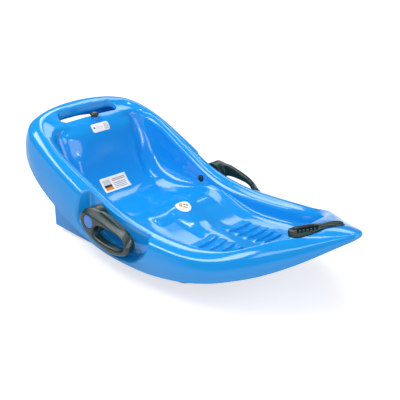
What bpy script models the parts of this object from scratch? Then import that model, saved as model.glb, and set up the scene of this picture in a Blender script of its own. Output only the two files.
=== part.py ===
"""Plastic sled with two hand brakes, a tow handle and a coupling knob.

The sled faces +X, its left side is +Y and it stands on z = 0. Lengths are in metres.
The moulded shell is a loft over stations that run from the nose round one side to the tail,
like the lines plan of a boat. Everything else hangs on the shell.
"""

import math

import bmesh
import bpy
import numpy as np
from mathutils import Matrix, Vector

# Driving dimensions of the shell
SKIN = 0.0032
MIDSHIP = 0.01675
GAP = 0.0003

# Stations from the nose to the tail, left side. Each has four points: the skirt's lower edge,
# the shoulder, the lip of the tub and the edge of the floor. The last four numbers are how high
# the rim is crowned, where its crest lies between shoulder and lip as a share of the way, how deep
# the trough in front of the hand bar is, and a share of the wall's full step back by the backrest.
STATIONS = (
    ((0.452, 0.000, 0.192), (0.457, 0.000, 0.2075), (0.322, 0.000, 0.189), (0.240, 0.000, 0.097),
     (0.005, 0.50, 0.0, 0.0)),
    ((0.447, 0.017, 0.189), (0.449, 0.016, 0.2055), (0.322, 0.014, 0.189), (0.2395, 0.012, 0.097),
     (0.005, 0.50, 0.0, 0.0)),
    ((0.430, 0.036, 0.179), (0.428, 0.034, 0.2000), (0.321, 0.030, 0.1885), (0.238, 0.024, 0.0968),
     (0.005, 0.50, 0.0, 0.0)),
    ((0.404, 0.061, 0.162), (0.400, 0.057, 0.1910), (0.319, 0.050, 0.187), (0.2355, 0.040, 0.0962),
     (0.005, 0.50, 0.0, 0.0)),
    ((0.370, 0.095, 0.141), (0.365, 0.089, 0.1790), (0.3145, 0.074, 0.183), (0.230, 0.059, 0.095),
     (0.006, 0.50, 0.0, 0.0)),
    ((0.334, 0.127, 0.122), (0.328, 0.120, 0.1670), (0.304, 0.096, 0.176), (0.2215, 0.078, 0.0935),
     (0.007, 0.50, 0.0, 0.0)),
    ((0.296, 0.158, 0.106), (0.290, 0.150, 0.1540), (0.285, 0.117, 0.166), (0.210, 0.087, 0.0915),
     (0.008, 0.50, 0.0, 0.0)),
    ((0.256, 0.186, 0.094), (0.250, 0.177, 0.1415), (0.256, 0.136, 0.152), (0.196, 0.094, 0.0895),
     (0.008, 0.50, 0.0, 0.0)),
    ((0.214, 0.208, 0.083), (0.210, 0.198, 0.1320), (0.216, 0.149, 0.139), (0.178, 0.100, 0.087),
     (0.008, 0.50, 0.0, 0.0)),
    ((0.165, 0.222, 0.073), (0.165, 0.212, 0.1270), (0.165, 0.156, 0.131), (0.160, 0.104, 0.085),
     (0.008, 0.50, 0.0, 0.0)),
    ((0.120, 0.228, 0.066), (0.120, 0.217, 0.1248), (0.120, 0.157, 0.127), (0.120, 0.107, 0.082),
     (0.008, 0.50, 0.0, 0.0)),
    ((0.060, 0.229, 0.058), (0.060, 0.2175, 0.1248), (0.060, 0.156, 0.1265), (0.060, 0.109, 0.084),
     (0.008, 0.50, 0.0, 0.0)),
    ((0.000, 0.228, 0.055), (0.000, 0.217, 0.1280), (0.000, 0.156, 0.130), (0.000, 0.108, 0.100),
     (0.008, 0.50, 0.0, 0.0)),
    ((-0.075, 0.227, 0.058), (-0.075, 0.216, 0.1410), (-0.075, 0.1565, 0.1430),
     (-0.075, 0.104, 0.1210), (0.008, 0.50, 0.0, 0.0)),
    ((-0.140, 0.227, 0.070), (-0.140, 0.216, 0.1605), (-0.140, 0.160, 0.166),
     (-0.135, 0.103, 0.1090), (0.008, 0.50, 0.0, 0.0)),
    ((-0.205, 0.228, 0.094), (-0.205, 0.217, 0.1920), (-0.205, 0.1635, 0.1965),
     (-0.195, 0.102, 0.1000), (0.009, 0.50, 0.0, 0.0)),
    ((-0.265, 0.228, 0.122), (-0.265, 0.218, 0.2220), (-0.262, 0.1675, 0.225),
     (-0.254, 0.102, 0.1040), (0.009, 0.50, 0.0, 0.10)),
    ((-0.318, 0.225, 0.150), (-0.315, 0.2165, 0.247), (-0.308, 0.170, 0.249),
     (-0.297, 0.102, 0.1260), (0.009, 0.50, 0.0, 0.45)),
    ((-0.358, 0.2225, 0.177), (-0.353, 0.2125, 0.265), (-0.341, 0.166, 0.268),
     (-0.324, 0.103, 0.1700), (0.009, 0.50, 0.0, 0.80)),
    ((-0.394, 0.2165, 0.206), (-0.389, 0.205, 0.2810), (-0.364, 0.157, 0.281),
     (-0.338, 0.104, 0.2150), (0.009, 0.48, 0.001, 1.0)),
    ((-0.427, 0.203, 0.233), (-0.420, 0.193, 0.2940), (-0.378, 0.142, 0.289),
     (-0.346, 0.104, 0.2450), (0.010, 0.45, 0.003, 1.0)),
    ((-0.453, 0.180, 0.252), (-0.445, 0.172, 0.3040), (-0.385, 0.123, 0.293),
     (-0.352, 0.103, 0.2720), (0.012, 0.40, 0.007, 0.8)),
    ((-0.471, 0.149, 0.262), (-0.463, 0.142, 0.3110), (-0.382, 0.105, 0.2945),
     (-0.353, 0.093, 0.2740), (0.014, 0.36, 0.011, 0.3)),
    ((-0.481, 0.109, 0.270), (-0.474, 0.104, 0.3170), (-0.378, 0.076, 0.2955),
     (-0.3535, 0.070, 0.2760), (0.017, 0.32, 0.015, 0.0)),
    ((-0.485, 0.072, 0.275), (-0.479, 0.069, 0.3210), (-0.377, 0.051, 0.296),
     (-0.354, 0.047, 0.2770), (0.019, 0.30, 0.017, 0.0)),
    ((-0.489, 0.043, 0.278), (-0.4825, 0.041, 0.3230), (-0.3765, 0.031, 0.2965),
     (-0.354, 0.029, 0.2775), (0.020, 0.29, 0.018, 0.0)),
    ((-0.4905, 0.021, 0.279), (-0.484, 0.020, 0.3240), (-0.3765, 0.015, 0.2965),
     (-0.354, 0.0145, 0.2780), (0.020, 0.29, 0.018, 0.0)),
    ((-0.491, 0.000, 0.279), (-0.4845, 0.000, 0.3245), (-0.3765, 0.000, 0.2965),
     (-0.354, 0.000, 0.2780), (0.020, 0.29, 0.018, 0.0)),
)
LAST = len(STATIONS) - 1
END_SPANS = 6

# Centre line of the floor at the stations between the two ends: distance and height
CENTRE_LINE = (
    (0.240, 0.0970), (0.214, 0.0930), (0.187, 0.0900), (0.160, 0.0880), (0.120, 0.0880),
    (0.060, 0.0940), (0.000, 0.1060), (-0.062, 0.1290), (-0.130, 0.1090), (-0.195, 0.0990),
    (-0.254, 0.1030), (-0.300, 0.1260), (-0.327, 0.1700), (-0.342, 0.2150), (-0.350, 0.2450),
    (-0.354, 0.2780),
)
CREST_SHARE = 0.06
CREST_FADE = 0.46
LIP_CREST_X = -0.0625
LIP_CREST_HEIGHT = 0.0055
LIP_CREST_HALF_WIDTH = 0.030
WALL_REACH = 0.89
WALL_RISE = 0.22
SKIRT_BULGE = 0.005
SHOULDER_ROUND = 0.012
LIP_ROUND = 0.0065
STEP_BACK = (-0.016, 0.010, -0.002)

# Foot ribs across both footwells
RIB_FACES = (0.079, 0.107, 0.135, 0.161, 0.186)
RIB_HEIGHT = 0.0060
RIB_FACE_RUN = 0.0025
RIB_START = 0.052
RIB_INNER = 0.016
RIB_OUTER = 0.100

# Hand slot at the tail
SLOT_X = -0.414
SLOT_HALF_LENGTH = 0.098
SLOT_HALF_WIDTH = 0.0156
SLOT_FLANGE_FOOT = 0.298
SLOT_FLANGE_SLOPE = 0.40

# Runners under the floor
RUNNER_Y = 0.120
RUNNER_WIDTH = 0.026
RUNNER_WALL = 0.004
RUNNER_TAIL_X = -0.414
RUNNER_PROFILE = (
    (-0.414, 0.017), (-0.334, 0.010), (-0.230, 0.003), (-0.130, 0.000), (0.030, 0.000),
    (0.080, 0.008), (0.125, 0.0225), (0.170, 0.042), (0.212, 0.064), (0.240, 0.082),
    (0.240, 0.140), (-0.330, 0.300), (-0.362, 0.235), (-0.414, 0.090),
)
RUNNER_CORE_FRONT = 0.236

# Brake lever, its pocket in the skirt and its pivot
PIVOT_X = -0.138
PIVOT_Z = 0.1405
POCKET_FLOOR = 0.194
POCKET_MOUTH = 0.250
POCKET_TOP = 0.260
POCKET_FLOOR_OUTLINE = (
    (-0.186, 0.165), (-0.184, 0.130), (-0.168, 0.107), (-0.138, 0.090), (-0.100, 0.0765),
    (-0.060, 0.0705), (-0.020, 0.075), (0.006, 0.092), (0.016, 0.115), (0.018, 0.140),
)
POCKET_MOUTH_OUTLINE = (
    (-0.214, 0.165), (-0.211, 0.124), (-0.186, 0.099), (-0.148, 0.0795), (-0.102, 0.067),
    (-0.058, 0.0615), (-0.010, 0.0635), (0.024, 0.080), (0.045, 0.106), (0.050, 0.140),
)
LEVER_OUTER_FACE = 0.248
GRIP_INNER_FACE = 0.222
HUB_INNER_FACE = 0.2025
LEVER_OUTLINE = (
    (-0.0300, 0.0060), (-0.0210, 0.0230), (-0.0020, 0.0320), (0.0220, 0.0300), (0.0500, 0.0235),
    (0.0860, 0.0125), (0.1140, 0.0035), (0.1300, -0.0080), (0.1390, -0.0260), (0.1350, -0.0420),
    (0.1210, -0.0535), (0.0910, -0.0610), (0.0610, -0.0595), (0.0220, -0.0490),
    (-0.0120, -0.0310), (-0.0270, -0.0130),
)
GRIP_OPENING = (
    (0.0180, -0.0150), (0.0330, -0.0050), (0.0600, -0.0035), (0.0850, -0.0060),
    (0.1080, -0.0110), (0.1210, -0.0240), (0.1170, -0.0390), (0.0960, -0.0440),
    (0.0620, -0.0425), (0.0320, -0.0365), (0.0190, -0.0280),
)
LEVER_ROUNDING = 0.006
HUB_RADIUS = 0.0315
CAP_RADIUS = 0.0165
CAP_DEPTH = 0.003
CAP_SETBACK = 0.001
HEAD_ROOM_RADIUS = 0.0125
BOSS_RADIUS = 0.017
BOSS_FOOT = 0.174
BOSS_HOLE_RADIUS = 0.0185
BOSS_BORE = 0.0058
SLEEVE_RADIUS = 0.0055
SLEEVE_BORE = 0.0033
BOLT_RADIUS = 0.0030
BOLT_HEAD_RADIUS = 0.0058
BOLT_HEAD_HEIGHT = 0.0042
BOLT_TIP = 0.1537
WASHER_RADIUS = 0.0105
WASHER_THICKNESS = 0.0016
WASHER_Y = 0.2300
WALL_PAD_RADIUS = 0.0135
WALL_PAD_OUTER = 0.1665
WALL_FACE = 0.1600
COUNTERBORE_RADIUS = 0.0092
NUT_WIDTH = 0.0100
NUT_HEIGHT = 0.0055
NUT_CAP_RADIUS = 0.0080
NUT_CAP_BORE = 0.0064
NUT_CAP_DEPTH = 0.0084
NUT_CAP_CROWN = 0.0018

# Brake claw
CLAW_THICKNESS = 0.0025
CLAW_RING_RADIUS = 0.0200
CLAW_REACH = 0.180
CLAW_ROOT_HALF_WIDTH = 0.012
CLAW_TIP_HALF_WIDTH = 0.008
CLAW_TOOTH = 0.007
CLAW_TEETH = 4
CLAW_RING_STEPS = 12
CLAW_REST_ANGLE = math.radians(173)
CLAW_SCREW_RADIUS = 0.0018
CLAW_SCREW_HEAD = 0.0034
CLAW_SCREW_HEAD_HEIGHT = 0.0018
CLAW_SCREW_LENGTH = 0.010
CLAW_SCREW_CIRCLE = 0.0118

# Tow handle and its nest in the nose deck
HANDLE_PIVOT = (0.386, 0.008)
HANDLE_TAIL = (0.3255, -0.0790)
HANDLE_THICKNESS = 0.016
HANDLE_ROUNDING = 0.004
HANDLE_TILT_X = 0.118
HANDLE_SEAT_Z = 0.1925
HANDLE_OUTLINE = (
    (-0.0200, 0.0060), (-0.0130, 0.0120), (0.0000, 0.0145), (0.0140, 0.0125), (0.0260, 0.0120),
    (0.0400, 0.0170), (0.0650, 0.0190), (0.0900, 0.0165), (0.1030, 0.0060), (0.1040, -0.0060),
    (0.0910, -0.0165), (0.0650, -0.0190), (0.0400, -0.0170), (0.0260, -0.0105),
    (0.0120, -0.0125), (-0.0020, -0.0140), (-0.0140, -0.0110), (-0.0200, -0.0030),
)
HANDLE_OPENING = (
    (0.0360, 0.0000), (0.0410, 0.0085), (0.0650, 0.0105), (0.0860, 0.0085), (0.0930, 0.0000),
    (0.0860, -0.0085), (0.0650, -0.0105), (0.0410, -0.0085),
)
FINGER_NOTCHES = 6
FINGER_NOTCH_PITCH = 0.0085
FINGER_NOTCH_RADIUS = 0.0030
FINGER_NOTCH_START = 0.0440
FINGER_NOTCH_ACROSS = 0.0110
NEST_MARGIN = 0.0018
ROPE_HOLE_RADIUS = 0.0075
PLUG_RADIUS = 0.0070
PLUG_LENGTH = 0.012
ROPE_BORE = 0.0028

# Coupling knob on the lip in front of the hand slot
KNOB_X = -0.3865
KNOB_SEAT_Z = 0.3010
KNOB_RADIUS = 0.0125
KNOB_NECK_RADIUS = 0.0075
KNOB_NECK = 0.0035
KNOB_HEIGHT = 0.0130
KNOB_BOSS_RADIUS = 0.0120
KNOB_SEAT_RADIUS = 0.0148
KNOB_BOSS_FOOT = 0.2880
KNOB_SCREW_RADIUS = 0.0020
KNOB_SCREW_HEAD = 0.0042
KNOB_SCREW_HEAD_HEIGHT = 0.0025


def clear_scene():
    for item in list(bpy.data.objects):
        bpy.data.objects.remove(item, do_unlink=True)


def material(name, colour, roughness, metallic=0.0):
    finish = bpy.data.materials.new(name)
    finish.use_nodes = True
    shader = finish.node_tree.nodes["Principled BSDF"]
    shader.inputs["Base Color"].default_value = (*colour, 1.0)
    shader.inputs["Roughness"].default_value = roughness
    shader.inputs["Metallic"].default_value = metallic
    return finish


def add_object(name, bm, finish=None, sharp=35.0):
    """Turn a bmesh into a named object, shaded smooth with its real edges kept sharp."""
    mesh = bpy.data.meshes.new(name)
    bm.to_mesh(mesh)
    bm.free()
    mesh.shade_smooth()
    mesh.set_sharp_from_angle(angle=math.radians(sharp))
    item = bpy.data.objects.new(name, mesh)
    bpy.context.scene.collection.objects.link(item)
    if finish:
        mesh.materials.append(finish)
    return item


def add_guide(name, bm):
    """A guide body only cuts or joins other bodies and is no part of the sled."""
    item = add_object(name, bm)
    item.hide_render = True
    item.display_type = "WIRE"
    return item


def boolean(item, other, operation):
    step = item.modifiers.new(f"{operation.lower()} {other.name}", "BOOLEAN")
    step.operation = operation
    step.solver = "EXACT"
    step.object = other


def spline(knots, values, places):
    """Natural cubic spline through the values, with continuous curvature for a glossy skin."""
    knots = np.asarray(knots, float)
    values = np.asarray(values, float)
    count = len(knots)
    step = np.diff(knots)
    system = np.eye(count)
    right = np.zeros_like(values)
    for k in range(1, count - 1):
        system[k, k - 1] = step[k - 1]
        system[k, k] = 2 * (step[k - 1] + step[k])
        system[k, k + 1] = step[k]
        rise = (values[k + 1] - values[k]) / step[k]
        fall = (values[k] - values[k - 1]) / step[k - 1]
        right[k] = 6 * (rise - fall)
    bend = np.linalg.solve(system, right)
    result = []
    for place in places:
        k = int(np.clip(np.searchsorted(knots, place) - 1, 0, count - 2))
        a = knots[k + 1] - place
        b = place - knots[k]
        h = step[k]
        cubic = (bend[k] * a ** 3 + bend[k + 1] * b ** 3) / (6 * h)
        start = (values[k] / h - bend[k] * h / 6) * a
        end = (values[k + 1] / h - bend[k + 1] * h / 6) * b
        result.append(cubic + start + end)
    return np.array(result)


def mirrored_spline(rail, places):
    """Spline of one rail over station numbers, carried on past the centre plane at both ends."""
    reach = 4
    rail = np.asarray(rail, float)
    flip = np.array((1, -1, 1)) if rail.shape[1] == 3 else np.ones(rail.shape[1])
    before = rail[reach:0:-1] * flip
    after = rail[-2:-2 - reach:-1] * flip
    values = np.vstack((before, rail, after))
    knots = np.arange(-reach, len(rail) + reach)
    return spline(knots, values, places)


def arc_points(corner, before, after, share, count):
    """A rounded corner as a quadratic Bezier that uses up a share of both its sides."""
    start = corner + (before - corner) * share[0]
    end = corner + (after - corner) * share[1]
    points = []
    for t in np.linspace(0, 1, count):
        points.append(start * (1 - t) ** 2 + 2 * corner * t * (1 - t) + end * t ** 2)
    return points


def share_of(length, corner, neighbour):
    distance = max(np.linalg.norm(neighbour - corner), 1e-6)
    return min(0.48, length / distance)


def section(edge, shoulder, lip, foot, shape):
    """Points of one station from the skirt's lower edge over the rim and down to the floor."""
    crown, crest_place, trough, step_back = shape
    outward = shoulder - lip
    outward[2] = 0
    outward /= np.linalg.norm(outward)
    up = np.array((0, 0, 1.0))
    bulge = (edge + shoulder) / 2 + outward * SKIRT_BULGE
    crest = shoulder + (lip - shoulder) * crest_place + up * crown * 1.6
    ledge = crest + (lip - crest) * 0.5 + up * (0.2 * crown - trough)
    wall = foot + (lip - foot) * np.array((WALL_REACH, WALL_REACH, WALL_RISE))
    valley = foot + np.array(STEP_BACK) * step_back
    hidden = foot + (wall - foot) * 0.12 + (valley - foot)
    points = [edge, bulge * 0.5 + (edge + shoulder) * 0.25]
    points += arc_points(shoulder, bulge, crest, (0.20, share_of(SHOULDER_ROUND, shoulder, crest)), 3)
    points += [crest * 0.5 + (shoulder + ledge) * 0.25, ledge * 0.5 + (crest + lip) * 0.25]
    lip_share = (share_of(LIP_ROUND, lip, ledge), share_of(LIP_ROUND, lip, wall))
    points += arc_points(lip, ledge, wall, lip_share, 3)
    points += arc_points(wall, lip, hidden, (0.45, 0.60), 3)
    points += [hidden]
    points += [foot]
    return points


def rib_lift(x, y):
    """Height of the foot ribs: long rising treads that each end in a short face towards the nose."""
    side = abs(y)
    if x < RIB_START or x > RIB_FACES[-1] or side < RIB_INNER or side > RIB_OUTER:
        return 0.0
    start = RIB_START
    lift = 0.0
    for face in RIB_FACES:
        if x <= face:
            tread = min((x - start) / (face - start), (face - x) / RIB_FACE_RUN)
            lift = RIB_HEIGHT * min(max(tread, 0.0), 1.0)
            break
        start = face
    return lift * min(1.0, (side - RIB_INNER) / 0.012)


def seat_lip_lift(x):
    """Height of the crest where the seat ends and the footwells begin."""
    return LIP_CREST_HEIGHT * max(0.0, 1.0 - abs(x - LIP_CREST_X) / LIP_CREST_HALF_WIDTH)


def station_places(spans):
    """Station numbers to loft through: every end station, and the chosen rows between them."""
    ends = list(range(END_SPANS + 1))
    tail = list(range(LAST - END_SPANS, LAST + 1))
    return ends + list(spans) + tail


def floor_rows():
    """Station numbers of the floor rows, with a pair of rows at each rib face."""
    knots = np.arange(END_SPANS, LAST - END_SPANS + 1)
    distance = np.array([point[0] for point in CENTRE_LINE])
    rows = [0.214]
    for face in reversed(RIB_FACES):
        rows += [face, face - RIB_FACE_RUN]
    rows += [RIB_START, 0.012, -0.0325, LIP_CREST_X, -0.0925, -0.130, -0.175, -0.230]
    places = list(np.interp([-x for x in rows], -distance, knots))
    backrest = [16.55, 17.0, 17.5, 18.0, 18.6, 19.3, 20.0, 20.6]
    return places + backrest


def shell_surface():
    """Outer surface of the moulding, as a bmesh whose only border is the skirt's lower edge."""
    places = station_places(floor_rows())
    rails = [mirrored_spline([row[k] for row in STATIONS], places) for k in range(5)]
    centre = spline(range(END_SPANS, LAST - END_SPANS + 1), CENTRE_LINE, places)
    columns = [section(*[rail[n].copy() for rail in rails]) for n in range(len(places))]
    depth = len(columns[0])
    bm = bmesh.new()
    for side in (1, -1):
        flip = np.array((1, side, 1))
        ring = [[bm.verts.new(point * flip) for point in column] for column in columns]
        for n in range(len(places) - 1):
            for k in range(depth - 1):
                bm.faces.new((ring[n][k], ring[n][k + 1], ring[n + 1][k + 1], ring[n + 1][k]))
        inner = [column[-1] for column in ring]
        first, last = END_SPANS, len(places) - 1 - END_SPANS
        previous = inner[:END_SPANS + 1]
        share = [rails[3][n][1] / rails[3][first][1] for n in range(END_SPANS + 1)]
        for n in range(first + 1, last + 1):
            if n == last:
                row = inner[:last - 1:-1]
            else:
                row = floor_row(bm, rails[3][n], centre[n], share, side) + [inner[n]]
            for k in range(END_SPANS):
                bm.faces.new((previous[k], previous[k + 1], row[k + 1], row[k]))
            previous = row
    bmesh.ops.remove_doubles(bm, verts=bm.verts, dist=1e-5)
    bmesh.ops.recalc_face_normals(bm, faces=bm.faces)
    top = max(bm.faces, key=lambda face: face.calc_center_median().z)
    if top.normal.z < 0:
        bmesh.ops.reverse_faces(bm, faces=bm.faces)
    return bm


def floor_row(bm, foot, centre, share, side):
    """Inner points of one floor row, from the centre line out to just before the floor's edge."""
    row = []
    for part in share[:-1]:
        x = centre[0] + (foot[0] - centre[0]) * part
        y = foot[1] * part
        fade = min(max((part - CREST_SHARE) / CREST_FADE, 0.0), 1.0)
        blend = 1 - fade * fade * (3 - 2 * fade)
        z = foot[2] + (centre[1] - foot[2]) * blend + rib_lift(x, y) + seat_lip_lift(x)
        row.append(bm.verts.new((x, y * side, z)))
    return row


def skin_solid():
    """The surface given its wall thickness, inwards."""
    item = add_object("shell", shell_surface(), material("sky_blue_plastic", (0.02, 0.28, 0.85), 0.2))
    wall = item.modifiers.new("wall thickness", "SOLIDIFY")
    wall.thickness = SKIN
    wall.offset = -1
    wall.use_even_offset = False
    return item


def under_skin():
    """Guide body: everything below the middle of the skin, down past the ground."""
    bm = shell_surface()
    bm.normal_update()
    shift = {vert: vert.normal * (-SKIN / 2) for vert in bm.verts}
    for vert, move in shift.items():
        vert.co += move
    border = [edge for edge in bm.edges if edge.is_boundary]
    grown = bmesh.ops.extrude_edge_only(bm, edges=border)["geom"]
    foot = [item for item in grown if isinstance(item, bmesh.types.BMVert)]
    for vert in foot:
        vert.co.z = -0.05
    rim = [item for item in grown if isinstance(item, bmesh.types.BMEdge) and item.is_boundary]
    bmesh.ops.contextual_create(bm, geom=rim)
    bmesh.ops.triangulate(bm, faces=bm.faces)
    bmesh.ops.recalc_face_normals(bm, faces=bm.faces)
    return add_guide("under skin", bm)


def smooth_outline(points, per_span, closed):
    """A smooth curve through the outline's own points."""
    points = np.asarray(points, float)
    if not closed:
        places = np.linspace(0, len(points) - 1, per_span * (len(points) - 1) + 1)
        return spline(range(len(points)), points, places)
    reach = 3
    ring = np.vstack((points[-reach:], points, points[:reach + 1]))
    places = np.arange(0, len(points), 1 / per_span)
    return spline(range(-reach, len(points) + reach + 1), ring, places)


def grow_outline(points, distance):
    """Move each point of a closed, clockwise or anticlockwise outline out along its normal."""
    points = np.asarray(points, float)
    area = 0.0
    for k in range(len(points)):
        a, b = points[k - 1], points[k]
        area += a[0] * b[1] - b[0] * a[1]
    turn = 1 if area > 0 else -1
    grown = []
    for k in range(len(points)):
        along = points[(k + 1) % len(points)] - points[k - 1]
        along /= np.linalg.norm(along)
        grown.append(points[k] + turn * distance * np.array((along[1], -along[0])))
    return np.array(grown)


def loft(rings, cap=True, wrap=False):
    """Closed body through rings of points that all have the same count."""
    bm = bmesh.new()
    loops = [[bm.verts.new(point) for point in ring] for ring in rings]
    count = len(loops[0])
    following = loops[1:] + loops[:1] if wrap else loops[1:]
    for a, b in zip(loops, following):
        for k in range(count):
            bm.faces.new((a[k], a[(k + 1) % count], b[(k + 1) % count], b[k]))
    if cap:
        bm.faces.new(loops[0][::-1])
        bm.faces.new(loops[-1])
    bmesh.ops.recalc_face_normals(bm, faces=bm.faces)
    return bm


def side_prism(outline, low, high):
    """Extrude an outline drawn in x and z along y."""
    return loft([[(x, y, z) for x, z in outline] for y in (low, high)])


def plan_prism(outline, low, high):
    """Extrude an outline drawn in x and y along z."""
    return loft([[(x, y, z) for x, y in outline] for z in (low, high)])


def circle(x, z, radius, count=20):
    turns = [2 * math.pi * k / count for k in range(count)]
    return [(x + radius * math.cos(turn), z + radius * math.sin(turn)) for turn in turns]


def rod(x, z, radius, low, high, side, count=20):
    """Round bar across the sled, along y, on one side."""
    return side_prism(circle(x, z, radius, count), side * low, side * high)


def pocket_outline(points, grow):
    curve = smooth_outline(points, 2, False)
    top = POCKET_TOP + grow
    outline = [(curve[0][0], top)] + [tuple(point) for point in curve] + [(curve[-1][0], top)]
    return grow_outline(outline, grow) if grow else outline


def pocket_body(name, side, grow):
    """Lever pocket as a tapered body, narrow at its floor and wide at its mouth."""
    floor_ring = pocket_outline(POCKET_FLOOR_OUTLINE, grow)
    mouth_ring = pocket_outline(POCKET_MOUTH_OUTLINE, grow)
    rings = [
        [(x, side * (POCKET_FLOOR - grow), z) for x, z in floor_ring],
        [(x, side * POCKET_MOUTH, z) for x, z in mouth_ring],
    ]
    return add_guide(name, loft(rings))


def slot_outline(grow):
    """Stadium shape of the hand slot in plan."""
    half_width = SLOT_HALF_WIDTH + grow
    straight = SLOT_HALF_LENGTH - SLOT_HALF_WIDTH
    outline = []
    for end in (1, -1):
        for k in range(9):
            turn = math.pi * k / 8
            x = SLOT_X + end * half_width * math.cos(turn)
            y = end * (straight + half_width * math.sin(turn))
            outline.append((x, y))
    return outline


def slot_flange():
    """Wall round the hand slot; its foot rises towards the hand bar, as the tail does."""
    outline = slot_outline(SKIN)
    foot = [(x, y, SLOT_FLANGE_FOOT + SLOT_FLANGE_SLOPE * (SLOT_X - x)) for x, y in outline]
    return loft([foot, [(x, y, 0.36) for x, y in outline]])


def runner_body(side, name):
    """One runner: a hollow rib, open below, with a closed rear end."""
    half = RUNNER_WIDTH / 2
    inner, outer = RUNNER_Y - half, RUNNER_Y + half
    body = add_guide(name, side_prism(RUNNER_PROFILE, side * inner, side * outer))
    bottom = -0.06
    front, rear = RUNNER_CORE_FRONT, RUNNER_TAIL_X + RUNNER_WALL
    cavity = [(rear, bottom), (front, bottom), (front, 0.4), (rear, 0.4)]
    core = add_guide(name + " core", side_prism(
        cavity, side * (inner + RUNNER_WALL), side * (outer - RUNNER_WALL)))
    boolean(body, core, "DIFFERENCE")
    return body


def handle_frame():
    """Place of the tow handle: its long axis, its sideways axis and the deck's normal."""
    along = Vector((HANDLE_TAIL[0] - HANDLE_PIVOT[0], HANDLE_TAIL[1] - HANDLE_PIVOT[1], 0))
    normal = Vector((-math.sin(HANDLE_TILT_X), 0, math.cos(HANDLE_TILT_X)))
    along = (along - normal * along.dot(normal)).normalized()
    across = normal.cross(along)
    turn = Matrix((along, across, normal)).transposed().to_4x4()
    return Matrix.Translation((*HANDLE_PIVOT, HANDLE_SEAT_Z)) @ turn


def handle_outline(grow, per_span=2):
    """Outline of the tow handle in its own plane: round head, neck and long loop."""
    curve = smooth_outline(HANDLE_OUTLINE, per_span, True)
    return grow_outline(curve, grow) if grow else curve


def deck_prism(name, outline, low, high):
    """Guide body that stands on the nose deck along the deck's normal."""
    frame = handle_frame()
    rings = [[frame @ Vector((x, y, z)) for x, y in outline] for z in (low, high)]
    return add_guide(name, loft(rings))


def turned_side(x, z, profile, side, count=20):
    """Body turned about a line across the sled: the profile holds radius and y, end to end."""
    rings = [[(px, side * y, pz) for px, pz in circle(x, z, radius, count)]
             for radius, y in profile]
    return loft(rings)


def turned_up(x, y, profile, count=20):
    """Body turned about an upright line: the profile holds radius and z, end to end."""
    rings = [[(px, py, z) for px, py in circle(x, y, radius, count)] for radius, z in profile]
    return loft(rings)


def tube_side(inner, outer, low, high, side):
    """Ring or tube across the sled, between inner and outer outlines with equal counts."""
    rings = [
        [(px, side * y, pz) for px, pz in outline]
        for outline, y in ((inner, low), (outer, low), (outer, high), (inner, high))
    ]
    return loft(rings, cap=False, wrap=True)


def lower_joins(shell, below):
    """Pocket walls, runners, slot flange and nest wall: kept under the skin, then joined to it."""
    joins = []
    for side, word in ((1, "left"), (-1, "right")):
        joins.append(pocket_body(f"{word} pocket wall", side, SKIN))
        joins.append(runner_body(side, f"{word} runner"))
        pad = rod(PIVOT_X, PIVOT_Z, WALL_PAD_RADIUS, WALL_FACE - 0.02, WALL_PAD_OUTER, side)
        joins.append(add_guide(f"{word} wall pad", pad))
    joins.append(add_guide("slot flange", slot_flange()))
    joins.append(deck_prism("nest wall", handle_outline(NEST_MARGIN + SKIN), -SKIN, 0.05))
    for join in joins:
        boolean(join, below, "INTERSECT")
        boolean(shell, join, "UNION")


def shell_cuts(shell):
    """Everything cut from the moulding: slot, nest, rope hole, pockets and the pivot holes."""
    cuts = [
        add_guide("slot", plan_prism(slot_outline(0.0), 0.24, 0.40)),
        deck_prism("nest", handle_outline(NEST_MARGIN), -GAP, 0.05),
        deck_prism("rope hole", circle(0, 0, ROPE_HOLE_RADIUS, 16), -0.03, 0.01),
        add_guide("knob seat", turned_up(
            KNOB_X, 0, ((KNOB_SEAT_RADIUS, KNOB_SEAT_Z), (KNOB_SEAT_RADIUS, 0.35)))),
        add_guide("knob screw hole", turned_up(
            KNOB_X, 0, ((KNOB_SCREW_RADIUS + GAP, 0.27), (KNOB_SCREW_RADIUS + GAP, 0.35)), 12)),
    ]
    for side, word in ((1, "left"), (-1, "right")):
        holes = (
            ("boss hole", BOSS_HOLE_RADIUS, POCKET_FLOOR - 0.012, POCKET_FLOOR + 0.01),
            ("bolt hole", SLEEVE_BORE, WALL_FACE - 0.02, WALL_PAD_OUTER + 0.01),
            ("counterbore", COUNTERBORE_RADIUS, WALL_FACE - 0.02, WALL_FACE),
        )
        cuts.append(pocket_body(f"{word} pocket", side, 0.0))
        for label, radius, low, high in holes:
            cuts.append(add_guide(f"{word} {label}", rod(PIVOT_X, PIVOT_Z, radius, low, high, side)))
    for cut in cuts:
        boolean(shell, cut, "DIFFERENCE")


def build_shell():
    shell = skin_solid()
    lower_joins(shell, under_skin())
    boss = add_guide("knob boss", turned_up(
        KNOB_X, 0, ((KNOB_BOSS_RADIUS, KNOB_BOSS_FOOT), (KNOB_BOSS_RADIUS, KNOB_SEAT_Z + 0.001))))
    boolean(shell, boss, "UNION")
    shell_cuts(shell)


def pivot_empty(word):
    """Empty on the brake's joint axis, which carries everything that turns with the lever."""
    empty = bpy.data.objects.new(f"{word} brake axis", None)
    empty.location = (PIVOT_X, 0, PIVOT_Z)
    bpy.context.scene.collection.objects.link(empty)
    return empty


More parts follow.
